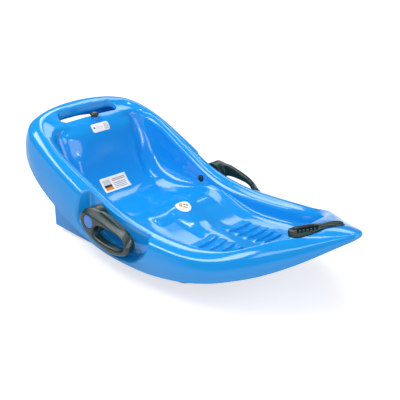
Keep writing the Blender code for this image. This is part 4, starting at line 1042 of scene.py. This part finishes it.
# %% Bevel of the upper arm
CREASE = ((-0.034, 0.004), (-0.014, 0.0190), (0.012, 0.0175), (0.050, 0.0100), (0.090, -0.0010),
          (0.118, -0.0130), (0.1310, -0.030))
CREASE_POINTS, CREASE_SLOPE, CREASE_SOFTNESS, CREASE_START = 60, 1.05, 0.006, -0.036
ARM_LIFT, ARM_START, ARM_END, ARM_EDGE = 0.0055, 0.020, 0.135, 0.004
ARM_FADE_IN, ARM_FADE_OUT = 0.025, 0.060


def bevel_upper_arm(item, side):
    crease = spline(range(len(CREASE)), CREASE, np.linspace(0, len(CREASE) - 1, CREASE_POINTS))
    spots = np.array([vert.co for vert in item.data.vertices])
    x, z = spots[:, 0] - PIVOT_X, spots[:, 2] - PIVOT_Z
    above = z - np.interp(x, crease[:, 0], crease[:, 1])
    thickness = LEVER_OUTER_FACE - GRIP_INNER_FACE
    inward = np.clip((LEVER_OUTER_FACE - side * spots[:, 1]) / thickness, 0, 1)
    along = smooth_step((x - ARM_START) / ARM_FADE_IN) * smooth_step((ARM_END - x) / ARM_FADE_OUT)
    spots[:, 2] += ARM_LIFT * inward * along * smooth_step(above / CREASE_SOFTNESS)
    face = LEVER_OUTER_FACE - CREASE_SLOPE * np.where(x > CREASE_START, np.maximum(above, 0), 0)
    face = np.maximum(face, GRIP_INNER_FACE + ARM_EDGE)
    spots[:, 1] = side * np.minimum(side * spots[:, 1], face)
    item.data.vertices.foreach_set("co", spots.ravel())


for side, item in zip((1, -1), levers.values()):
    bevel_upper_arm(item, side)
    remeshed(item, LEVER_CELL, 2)
print("bevelled levers:", {word: triangles(item) for word, item in levers.items()}, "triangles each")

# %% Seats for bolt, cap and claw screws
GAP, CUT_OVER = 0.0003, 0.01
CAP_RADIUS, CAP_DEPTH, CAP_SETBACK, CAP_PLAY = 0.0165, 0.003, 0.001, 0.0001
CAP_MOUTH, CAP_MOUTH_DEPTH, CAP_MOUTH_OVER = 0.0014, 0.001, 0.0004
HEAD_ROOM_RADIUS, BOSS_BORE, WASHER_Y = 0.0125, 0.0058, 0.2300
CLAW_ANGLE, CLAW_SCREW_CIRCLE = math.radians(173), 0.0118
CLAW_SCREW_RADIUS, CLAW_SCREW_LENGTH = 0.0018, 0.010


def lever_seats(side):
    """Stepped room for bolt and cap, and the two screw holes beside it."""
    seat, low, washer = LEVER_OUTER_FACE - CAP_SETBACK - CAP_DEPTH, BOSS_FOOT - CUT_OVER, WASHER_Y - GAP
    cuts = [new_object("bolt room", turned_side(PIVOT_X, PIVOT_Z, (
        (BOSS_BORE, low), (BOSS_BORE, washer), (HEAD_ROOM_RADIUS, washer), (HEAD_ROOM_RADIUS, seat),
        (CAP_RADIUS + GAP, seat), (CAP_RADIUS + GAP, LEVER_OUTER_FACE - CAP_MOUTH_DEPTH),
        (CAP_RADIUS + CAP_MOUTH, LEVER_OUTER_FACE + CAP_MOUTH_OVER),
        (CAP_RADIUS + CAP_MOUTH, LEVER_OUTER_FACE + CUT_OVER)), side))]
    turn, radius = CLAW_ANGLE + math.pi / 2, CLAW_SCREW_RADIUS + GAP
    for sign in (1, -1):
        x = PIVOT_X + sign * CLAW_SCREW_CIRCLE * math.cos(turn)
        z = PIVOT_Z + sign * CLAW_SCREW_CIRCLE * math.sin(turn)
        cuts.append(new_object("screw hole", turned_side(x, z, (
            (radius, low), (radius, BOSS_FOOT + CLAW_SCREW_LENGTH)), side, 16)))
    return cuts


for side, item in zip((1, -1), levers.values()):
    shade(combine(item, lever_seats(side), "DIFFERENCE"))
print("levers:", {word: triangles(item) for word, item in levers.items()}, "triangles each")

# %% [markdown]
# The hub caps, nut caps and the coupling knob are turned shapes. Their profiles are drawn with the
# small rounds that a turned or moulded button has, and spun round their axis. Most numbers in them
# are shares of the piece's own radius or height.

# %% Caps and knob
NUT_CAP_RADIUS, NUT_CAP_BORE, NUT_CAP_DEPTH, NUT_CAP_CROWN = 0.0080, 0.0064, 0.0084, 0.0018
KNOB_RADIUS, KNOB_NECK_RADIUS, KNOB_NECK, KNOB_HEIGHT = 0.0125, 0.0075, 0.0035, 0.0130
KNOB_RIM, KNOB_FOOT_FLARE, KNOB_UNDERCUT, KNOB_UNDERSIDE = 0.0022, 0.002, 0.0014, 0.0003
KNOB_DOME_TURN, KNOB_ROOM = math.radians(86), 0.6
CAP_ROUND, NUT_CAP_ROUND, KNOB_ROUND, NUT_CAP_CORE, KNOB_CORE = 0.0007, 0.0005, 0.0012, 0.0005, 0.0004
NUT_CAP_DIMPLE_LIP, NUT_CAP_DIMPLE_EDGE, NUT_CAP_DIMPLE, ROUND_SHARE = 0.0002, 0.0011, 0.0012, 0.45


def rounded(profile, radius, steps=4):
    """Round the inner corners of a profile of (radius, height) points."""
    points = [profile[0]]
    for before, corner, after in zip(profile, profile[1:], profile[2:]):
        before, corner, after = (np.array(item, float) for item in (before, corner, after))
        back, ahead = np.linalg.norm(before - corner), np.linalg.norm(after - corner)
        cut = min(radius, ROUND_SHARE * back, ROUND_SHARE * ahead)
        start = corner + (before - corner) / back * cut
        end = corner + (after - corner) / ahead * cut
        for t in np.linspace(0, 1, steps + 1):
            points.append(tuple(start * (1 - t) ** 2 + 2 * corner * t * (1 - t) + end * t ** 2))
    return points + [profile[-1]]


def hub_cap(side, word):
    seat, edge = LEVER_OUTER_FACE - CAP_SETBACK - CAP_DEPTH + GAP, CAP_RADIUS - CAP_PLAY
    profile = rounded((
        (CAP_RADIUS * 0.5, seat), (edge, seat), (edge, seat + 0.75 * CAP_DEPTH),
        (CAP_RADIUS * 0.86, seat + 0.94 * CAP_DEPTH), (CAP_RADIUS * 0.42, seat + CAP_DEPTH),
        (CAP_RADIUS * 0.12, seat + CAP_DEPTH)), CAP_ROUND)
    return new_object(f"blue_hub_cap_{word}", turned_side(PIVOT_X, PIVOT_Z, profile, side, 64))


def nut_cap(side, word):
    """Cap over the lock nut, with a small dimple in the middle of its crown."""
    seat, tip = WALL_FACE - GAP, WALL_FACE - GAP - NUT_CAP_DEPTH
    profile = rounded((
        (NUT_CAP_CORE, tip + NUT_CAP_CROWN), (NUT_CAP_BORE, tip + NUT_CAP_CROWN), (NUT_CAP_BORE, seat),
        (NUT_CAP_RADIUS, seat), (NUT_CAP_RADIUS, tip + NUT_CAP_CROWN),
        (0.86 * NUT_CAP_RADIUS, tip + 0.35 * NUT_CAP_CROWN), (0.52 * NUT_CAP_RADIUS, tip),
        (0.34 * NUT_CAP_RADIUS, tip + NUT_CAP_DIMPLE_LIP),
        (0.31 * NUT_CAP_RADIUS, tip + NUT_CAP_DIMPLE_EDGE),
        (0.05 * NUT_CAP_RADIUS, tip + NUT_CAP_DIMPLE)), NUT_CAP_ROUND)
    return new_object(f"black_nut_cap_{word}", turned_side(PIVOT_X, PIVOT_Z, profile, side))


def knob():
    """Mushroom on a waisted neck, with a domed top and a blind hole for its screw."""
    seat, head = KNOB_SEAT_Z + GAP, KNOB_SEAT_Z + GAP + KNOB_NECK
    top, room = seat + KNOB_HEIGHT, seat + KNOB_ROOM * KNOB_HEIGHT
    dome = [(KNOB_RADIUS * math.cos(turn), head + KNOB_RIM + (top - head - KNOB_RIM) * math.sin(turn))
            for turn in np.linspace(0, KNOB_DOME_TURN, 14)]
    profile = rounded((
        (KNOB_CORE, room), (KNOB_SCREW_HOLE, room), (KNOB_SCREW_HOLE, seat),
        (KNOB_NECK_RADIUS + KNOB_FOOT_FLARE, seat), (KNOB_NECK_RADIUS, head),
        (KNOB_RADIUS - KNOB_UNDERCUT, head + KNOB_UNDERSIDE), dome[0]), KNOB_ROUND)[:-1] + dome
    return new_object("coupling_button", turned_up(KNOB_X, 0, profile, 64))


small_parts = [(knob(), "sled", "coupling_knob")]
for side, word in ((1, "left"), (-1, "right")):
    small_parts.append((hub_cap(side, word), f"{word}_brake", f"hub_cap_{word}"))
    small_parts.append((nut_cap(side, word), "sled", f"nut_cap_{word}"))
print("turned parts:", [item.name for item, _, _ in small_parts])

# %% [markdown]
# ## Tow handle
# The handle has a round head that plugs into the deck, a narrow neck and a long loop. A row of
# notches along one arm of the loop gives wet gloves something to hold. The row is a rule, so
# Geometry Nodes make its cutters: a line of points and one rounded body on each, with the count and
# the pitch as named inputs. A Boolean then cuts them all out of the arm at once.

# %% Row of notch cutters
NOTCH_ROW = {"Count": 6, "Pitch": 0.0085, "Width": 0.0025, "Length": 0.0098, "Height": 0.0085}
NOTCH_START, NOTCH_ACROSS, NOTCH_TURN = 0.0440, 0.0120, math.radians(-24)


def notch_row_tree():
    """Geometry Nodes tree: rounded bodies in a straight row."""
    tree = bpy.data.node_groups.new("notch_row", "GeometryNodeTree")
    add_sockets(tree, "INPUT", (
        ("Count", "NodeSocketInt"), ("Pitch", "NodeSocketFloat"), ("Width", "NodeSocketFloat"),
        ("Length", "NodeSocketFloat"), ("Height", "NodeSocketFloat"), ("Finish", "NodeSocketMaterial")))
    add_sockets(tree, "OUTPUT", [("Geometry", "NodeSocketGeometry")])
    given, end = tree.nodes.new("NodeGroupInput").outputs, tree.nodes.new("NodeGroupOutput")
    step = add_node(tree, "ShaderNodeCombineXYZ", {"X": given["Pitch"]}).outputs[0]
    size = add_node(tree, "ShaderNodeCombineXYZ", {
        "X": given["Width"], "Y": given["Length"], "Z": given["Height"]}).outputs[0]
    line = add_node(tree, "GeometryNodeMeshLine", {"Count": given["Count"], "Offset": step}, mode="OFFSET")
    body = add_node(tree, "GeometryNodeMeshUVSphere", {"Segments": 16, "Rings": 10, "Radius": 1.0})
    last = add_node(tree, "GeometryNodeInstanceOnPoints", {
        "Points": line.outputs["Mesh"], "Instance": body.outputs["Mesh"], "Scale": size})
    for kind in ("GeometryNodeRealizeInstances", "GeometryNodeSetShadeSmooth", "GeometryNodeSetMaterial"):
        last = add_node(tree, kind, {"Geometry": last.outputs[0]})
    feed(tree, last, {"Material": given["Finish"]})
    feed(tree, end, {"Geometry": last.outputs[0]})
    return tree


def grown_by_nodes(name, tree, values):
    """Run a tree on an empty mesh and keep its result as a plain mesh."""
    item = bpy.data.objects.new(name, bpy.data.meshes.new(name))
    bpy.context.scene.collection.objects.link(item)
    step = item.modifiers.new(tree.name, "NODES")
    step.node_group = tree
    for socket in tree.interface.items_tree:
        if socket.in_out == "INPUT" and socket.name in values:
            step[socket.identifier] = values[socket.name]
    return settle(item)


def notch_cutters():
    """The row, each body turned about its own middle, moved to the handle's upper edge."""
    cutters = grown_by_nodes("notches", notch_row_tree(), NOTCH_ROW)
    turn, pitch = Matrix.Rotation(NOTCH_TURN, 4, "Z"), NOTCH_ROW["Pitch"]
    for vert in cutters.data.vertices:
        centre = Vector((round(vert.co.x / pitch) * pitch, 0, 0))
        vert.co = turn @ (vert.co - centre) + centre
        vert.co += Vector((NOTCH_START, NOTCH_ACROSS, HANDLE_THICKNESS))
    return cutters


notches = notch_cutters()
print("notch cutters:", triangles(notches), "triangles")

# %% Handle form
HANDLE_OPENING = (
    (0.0360, 0.0000), (0.0410, 0.0085), (0.0650, 0.0105), (0.0860, 0.0085), (0.0930, 0.0000),
    (0.0860, -0.0085), (0.0650, -0.0105), (0.0410, -0.0085),
)
HANDLE_CELL, HANDLE_LOWER_ROUND, HANDLE_UPPER_ROUND = 0.0008, 0.0024, 0.0042
PLUG_RADIUS, PLUG_LENGTH, PLUG_TOP, PLUG_BEVEL_IN, PLUG_BEVEL_UP = 0.0070, 0.012, 0.006, 0.001, 0.002
ROPE_BORE, ROPE_BORE_FLARE, ROPE_BORE_OVER, ROPE_BORE_REACH = 0.0028, 0.0012, 0.0004, 0.03
WINDOW_FLARE = (
    (0.0016, -0.002), (0.0, 0.0020), (0.0, HANDLE_THICKNESS - 0.0035),
    (0.0012, HANDLE_THICKNESS - 0.0010), (0.0036, HANDLE_THICKNESS + 0.0015),
    (0.0050, HANDLE_THICKNESS + 0.004),
)


def fine_handle():
    """Loop with a flared window, soft all over, with its plug, its notches and its rope bore."""
    window = smooth_outline(HANDLE_OPENING, 6)
    rings = rounded_slab(handle_curve, 0.0, HANDLE_THICKNESS, HANDLE_LOWER_ROUND, HANDLE_UPPER_ROUND)
    body = new_object("pull_handle", loft(level_rings(rings)))
    flare = level_rings([(grow_outline(window, grow), z) for grow, z in WINDOW_FLARE])
    combine(body, [new_object("window", loft(flare))], "DIFFERENCE")
    remeshed(body, HANDLE_CELL, 3)
    plug = new_object("plug", turned_up(0, 0, (
        (PLUG_RADIUS - PLUG_BEVEL_IN, -PLUG_LENGTH), (PLUG_RADIUS, -PLUG_LENGTH + PLUG_BEVEL_UP),
        (PLUG_RADIUS, PLUG_TOP))))
    combine(body, [plug], "UNION")
    mouth = ROPE_BORE + ROPE_BORE_FLARE
    bore = new_object("bore", turned_up(0, 0, (
        (ROPE_BORE, -ROPE_BORE_REACH), (ROPE_BORE, HANDLE_THICKNESS - ROPE_BORE_FLARE),
        (mouth, HANDLE_THICKNESS + ROPE_BORE_OVER), (mouth, ROPE_BORE_REACH)), 32))
    combine(body, [notches, bore], "DIFFERENCE")
    body.data.transform(deck)
    shade(body)
    return body


pull_handle = fine_handle()
print("tow handle:", triangles(pull_handle), "triangles")

# %% [markdown]
# ## Labels
# Three thin printed labels sit on the moulding: a small one below the knob, a larger one low on the
# backrest and an oval one on the hump. A label is a sheet that follows the surface under it, so each
# point of a flat grid is dropped on the skin along the label's own normal. Its UV map is the flat
# grid, which lets the print be drawn in the material. The print is plain bars and rules.

# %% Label sheets
LABEL_LIFT, LABEL_THICKNESS, LABEL_DROP = 0.00008, 0.00016, 0.05
LABEL_RINGS, LABEL_STEP = 12, 0.003
# Each has its centre, the directions of its width and height, half its width, half its height and
# its corner radius. The oval one has no corners.
LABELS = {
    "seat_label": ((-0.2850, -0.0080, 0.1335), (0.0, 1.0, -0.012), (-0.668, 0.0, 0.744),
                   0.0460, 0.0212, 0.0012),
    "panel_label": ((-0.3461, 0.0010, 0.2793), (0.0, 1.0, -0.004), (-0.886, 0.02, 0.462),
                    0.0300, 0.0114, 0.0060),
    "hump_label": ((-0.0380, -0.0030, 0.1250), (0.77, 0.64, 0.0), (-0.64, 0.77, 0.0),
                   0.0207, 0.0224, None),
}


def rounded_rectangle(half_u, half_v, radius, count=10):
    corner_u, corner_v = half_u - radius, half_v - radius
    ring = []
    for quarter, (u, v) in enumerate(((1, 1), (-1, 1), (-1, -1), (1, -1))):
        for k in range(count + 1):
            turn = math.pi / 2 * (quarter + k / count)
            ring.append((u * corner_u + radius * math.cos(turn), v * corner_v + radius * math.sin(turn)))
    return subdivided(ring, LABEL_STEP)


def ellipse(half_u, half_v, count=64):
    turns = [2 * math.pi * k / count for k in range(count)]
    return [(half_u * math.cos(turn), half_v * math.sin(turn)) for turn in turns]


def dropped(spot, normal):
    """Place just over the skin, found by a ray from in front of the spot."""
    place, lean = surface.ray_cast(spot + normal * LABEL_DROP, -normal)[:2]
    lean = lean if lean.dot(normal) > 0 else -lean
    return place + lean * (LABEL_LIFT + LABEL_THICKNESS)


def label_sheet(name, centre, along, up, half_u, half_v, radius):
    """Thin sheet whose rings shrink to the middle, dropped on the skin along its own normal."""
    along, up = Vector(along).normalized(), Vector(up).normalized()
    normal = along.cross(up).normalized()
    ring = rounded_rectangle(half_u, half_v, radius) if radius else ellipse(half_u, half_v)
    count = len(ring)
    bm = bmesh.new()
    flat = bm.loops.layers.uv.new("print")

    def corner(u, v):
        vert = bm.verts.new(dropped(Vector(centre) + along * u + up * v, normal))
        return vert, (u / half_u / 2 + 0.5, v / half_v / 2 + 0.5)

    shares = np.linspace(1.0, 0.0, LABEL_RINGS, endpoint=False)
    loops = [[corner(u * share, v * share) for u, v in ring] for share in shares]
    middle = corner(0.0, 0.0)
    faces = [(a[k], a[(k + 1) % count], b[(k + 1) % count], b[k])
             for a, b in zip(loops, loops[1:]) for k in range(count)]
    faces += [(loops[-1][k], loops[-1][(k + 1) % count], middle) for k in range(count)]
    for corners in faces:
        face = bm.faces.new([vert for vert, _ in corners])
        for loop, (_, uv) in zip(face.loops, corners):
            loop[flat].uv = uv
    bm.normal_update()
    bm.faces.ensure_lookup_table()
    if bm.faces[0].normal.dot(normal) < 0:
        bmesh.ops.reverse_faces(bm, faces=bm.faces)
    sheet = new_object(name, bm)
    step = sheet.modifiers.new("paper", "SOLIDIFY")
    step.thickness, step.offset = LABEL_THICKNESS, -1
    return settle(sheet)


labels = {name: label_sheet(name, *facts) for name, facts in LABELS.items()}
print("labels:", {name: triangles(item) for name, item in labels.items()})

# %% [markdown]
# The labels' print is drawn from their UV maps: rectangles that are switched on between limits, and
# rules made by repeating one limit. Each shape is mixed over the paper's white.

# %% Printed labels
RULE_SHARE = 0.42
PAPER_DARK, PAPER_LIGHT, PAPER_ROUGHNESS = (0.86, 0.87, 0.88, 1), (0.93, 0.93, 0.92, 1), 0.28
FIBRE_SCALE, FIBRE_STRENGTH, FIBRE_DEPTH = 1400.0, 0.08, 0.0001
CHARCOAL, AMBER, RUST = (0.030, 0.028, 0.030), (0.80, 0.29, 0.04), (0.36, 0.07, 0.03)
GREY, PALE_GREY = (0.30, 0.30, 0.32), (0.62, 0.62, 0.64)
# Each block has its box from 0 to 1 across the label, its ink and, where it is ruled, its lines.
PRINTS = {
    "seat_label": (
        ((0.07, 0.53, 0.36, 0.86), GREY, 5), ((0.07, 0.34, 0.36, 0.50), CHARCOAL, 0),
        ((0.07, 0.12, 0.36, 0.34), AMBER, 0), ((0.44, 0.66, 0.92, 0.88), RUST, 2),
        ((0.44, 0.14, 0.90, 0.60), GREY, 4)),
    "panel_label": (
        ((0.09, 0.40, 0.17, 0.62), CHARCOAL, 0), ((0.24, 0.30, 0.62, 0.72), PALE_GREY, 3),
        ((0.70, 0.16, 0.93, 0.86), GREY, 6)),
    "hump_label": (
        ((0.22, 0.30, 0.46, 0.66), AMBER, 0), ((0.50, 0.52, 0.62, 0.66), CHARCOAL, 0),
        ((0.66, 0.52, 0.78, 0.66), CHARCOAL, 0), ((0.50, 0.32, 0.78, 0.42), GREY, 0)),
}


def between(tree, value, low, high):
    above = maths(tree, "GREATER_THAN", value, low)
    return maths(tree, "MULTIPLY", above, maths(tree, "LESS_THAN", value, high))


def block_mask(tree, u, v, box, rules):
    """Mask of a rectangle on the label, whole or ruled into lines."""
    low_u, low_v, high_u, high_v = box
    mask = maths(tree, "MULTIPLY", between(tree, u, low_u, high_u), between(tree, v, low_v, high_v))
    if rules:
        rise = maths(tree, "MULTIPLY", maths(tree, "SUBTRACT", v, low_v), rules / (high_v - low_v))
        line = maths(tree, "LESS_THAN", maths(tree, "FRACT", rise, 0.0), RULE_SHARE)
        mask = maths(tree, "MULTIPLY", mask, line)
    return mask


def printed_paper(name, blocks):
    """White coated paper with the coloured blocks over it."""
    finish, tree, shader = plain_material(name, roughness=PAPER_ROUGHNESS)
    chart = add_node(tree, "ShaderNodeUVMap", uv_map="print")
    split = add_node(tree, "ShaderNodeSeparateXYZ", {0: chart.outputs["UV"]})
    fibre = noise(tree, object_spots(tree), FIBRE_SCALE)
    colour = mixed(tree, fibre, PAPER_DARK, PAPER_LIGHT)
    for box, ink, rules in blocks:
        mask = block_mask(tree, split.outputs["X"], split.outputs["Y"], box, rules)
        colour = mixed(tree, mask, colour, (*ink, 1))
    feed(tree, shader, {"Base Color": colour, "Normal": bump(tree, fibre, FIBRE_STRENGTH, FIBRE_DEPTH)})
    return finish


for name, item in labels.items():
    dress(item, printed_paper(f"{name}_paper", PRINTS[name]), "sled")
print("labels printed:", sorted(labels))

# %% Finishes of the black parts and caps
for word, item in levers.items():
    dress(item, black, f"{word}_brake", f"brake_lever_{word}")
for item, body, node in small_parts:
    finish, slot = (cap_blue, "blue_cap") if node.startswith("hub_cap") else (black, "black_plastic")
    dress(item, finish, body, node)
dress(pull_handle, black, "tow_handle", "tow_handle")
print("dressed:", [item.name for item in levers.values()] + [item.name for item, _, _ in small_parts])

# %% [markdown]
# ## Camera, light and floor
# The camera stands at the sled's front right quarter, a little above it, in a plain white studio.
# Soft boxes give the long highlights of the glossy rim. The world and the floor are white for the
# camera, and in reflections near the horizon, but give little light of their own.

# %% Camera
CAMERA_AZIMUTH, CAMERA_ELEVATION = math.radians(42.1), math.radians(21.8)
CAMERA_DISTANCE, CAMERA_TARGET = 1.985, Vector((0.01675, 0.0, 0.16))
CAMERA_LENS, CAMERA_SENSOR = 72, 36


def aimed(name, data, place, direction):
    """Link a camera or a lamp that stands at its place and looks in the direction."""
    item = bpy.data.objects.new(name, data)
    bpy.context.scene.collection.objects.link(item)
    item.location = place
    item.rotation_mode = "QUATERNION"
    item.rotation_quaternion = direction.to_track_quat("-Z", "Y")
    return item


back = Vector((math.sin(CAMERA_AZIMUTH) * math.cos(CAMERA_ELEVATION),
               -math.cos(CAMERA_AZIMUTH) * math.cos(CAMERA_ELEVATION), math.sin(CAMERA_ELEVATION)))
eye = bpy.data.cameras.new("camera")
eye.lens, eye.sensor_width = CAMERA_LENS, CAMERA_SENSOR
camera = aimed("camera", eye, CAMERA_TARGET + back * CAMERA_DISTANCE, -back)
bpy.context.scene.camera = camera
print("camera at", [round(value, 3) for value in camera.location])

# %% Soft boxes
# Each has its place, the point it faces, its width and height, and its power in watts.
LAMPS = {
    "long bank": ((-0.53, -1.00, 1.56), (-0.04, -0.07, 0.15), (2.10, 0.36), 24),
    "rear bank": ((-0.87, 1.20, 1.44), (0.00, 0.00, 0.10), (0.90, 0.52), 5.5),
    "top strip": ((-0.13, 0.48, 2.29), (0.00, 0.00, 0.15), (1.20, 0.18), 6),
    "spot box": ((-0.22, 0.88, 1.93), (0.00, -0.03, 0.12), (0.10, 0.10), 0.6),
    "lip box": ((-1.22, 0.57, 1.71), (0.00, 0.00, 0.12), (0.60, 0.85), 10),
    "side bank": ((1.60, 0.35, 1.15), (0.00, 0.00, 0.15), (0.30, 0.18), 1.6),
    "side fill": ((2.30, 0.20, 1.00), (0.00, 0.00, 0.15), (1.80, 1.20), 20),
    "front box": ((1.05, -1.35, 1.20), (0.00, 0.00, 0.15), (0.80, 0.80), 9),
}
for name, (place, target, (width, height), power) in LAMPS.items():
    light = bpy.data.lights.new(name, "AREA")
    light.shape, light.size, light.size_y, light.energy = "RECTANGLE", width, height, power
    aimed(name, light, place, Vector(target) - Vector(place))
print("soft boxes:", list(LAMPS))

# %% White surround and pale floor
WORLD_LIGHT, HORIZON_BAND, OVERHEAD = 0.22, (-0.02, 0.18), 0.12
FLOOR_GLOW, FLOOR_FADE, FLOOR_RADIUS, FLOOR_DROP = 0.68, (0.7, 3.5), 9.0, 0.0005
FLOOR_GREY, FLOOR_ROUGHNESS, WHITE = (0.50, 0.50, 0.50, 1), 0.6, (1, 1, 1, 1)


def faded(tree, value, limits, first, last):
    """Smooth change from the first strength to the last, while the value crosses its limits."""
    node = add_node(tree, "ShaderNodeMapRange", {
        "Value": value, "From Min": limits[0], "From Max": limits[1], "To Min": first, "To Max": last},
        interpolation_type="SMOOTHSTEP")
    return node.outputs["Result"]


def surround():
    """White all round for the camera; in reflections white at the horizon and dim overhead."""
    world = bpy.data.worlds.new("studio")
    bpy.context.scene.world = world
    world.use_nodes = True
    tree = world.node_tree
    ray = add_node(tree, "ShaderNodeLightPath").outputs
    spots = add_node(tree, "ShaderNodeTexCoord").outputs["Generated"]
    height = add_node(tree, "ShaderNodeSeparateXYZ", {0: spots}).outputs["Z"]
    mirrored = maths(tree, "MAXIMUM", ray["Is Glossy Ray"], ray["Is Transmission Ray"])
    mirrored = maths(tree, "MULTIPLY", mirrored, faded(tree, height, HORIZON_BAND, 1.0, OVERHEAD))
    seen = maths(tree, "MAXIMUM", ray["Is Camera Ray"], mirrored)
    lit = maths(tree, "MULTIPLY", ray["Is Diffuse Ray"], WORLD_LIGHT)
    feed(tree, tree.nodes["Background"], {"Color": WHITE, "Strength": maths(tree, "MAXIMUM", seen, lit)})


def pale_floor():
    """Grey floor that takes the shadow, with a glow for the camera that reaches white far off."""
    bm = bmesh.new()
    bmesh.ops.create_circle(bm, cap_ends=True, segments=64, radius=FLOOR_RADIUS)
    for vert in bm.verts:
        vert.co.z = -FLOOR_DROP
    finish, tree, shader = plain_material("pale_floor", roughness=FLOOR_ROUGHNESS)
    ray = add_node(tree, "ShaderNodeLightPath").outputs
    seen = maths(tree, "MAXIMUM", ray["Is Camera Ray"], ray["Is Glossy Ray"])
    seen = maths(tree, "MAXIMUM", seen, ray["Is Transmission Ray"])
    reach = add_node(tree, "ShaderNodeVectorMath", {0: object_spots(tree)}, operation="LENGTH")
    glow = faded(tree, reach.outputs["Value"], FLOOR_FADE, FLOOR_GLOW, 1.0)
    feed(tree, shader, {
        "Base Color": FLOOR_GREY, "Emission Color": WHITE,
        "Emission Strength": maths(tree, "MULTIPLY", seen, glow)})
    new_object("floor", bm, finish)


surround()
pale_floor()
scene = bpy.context.scene
scene.view_settings.view_transform = "Standard"
print("floor and surround ready")

# %% [markdown]
# The last line prints the box round the imported model.

print("cad box", cad_box)
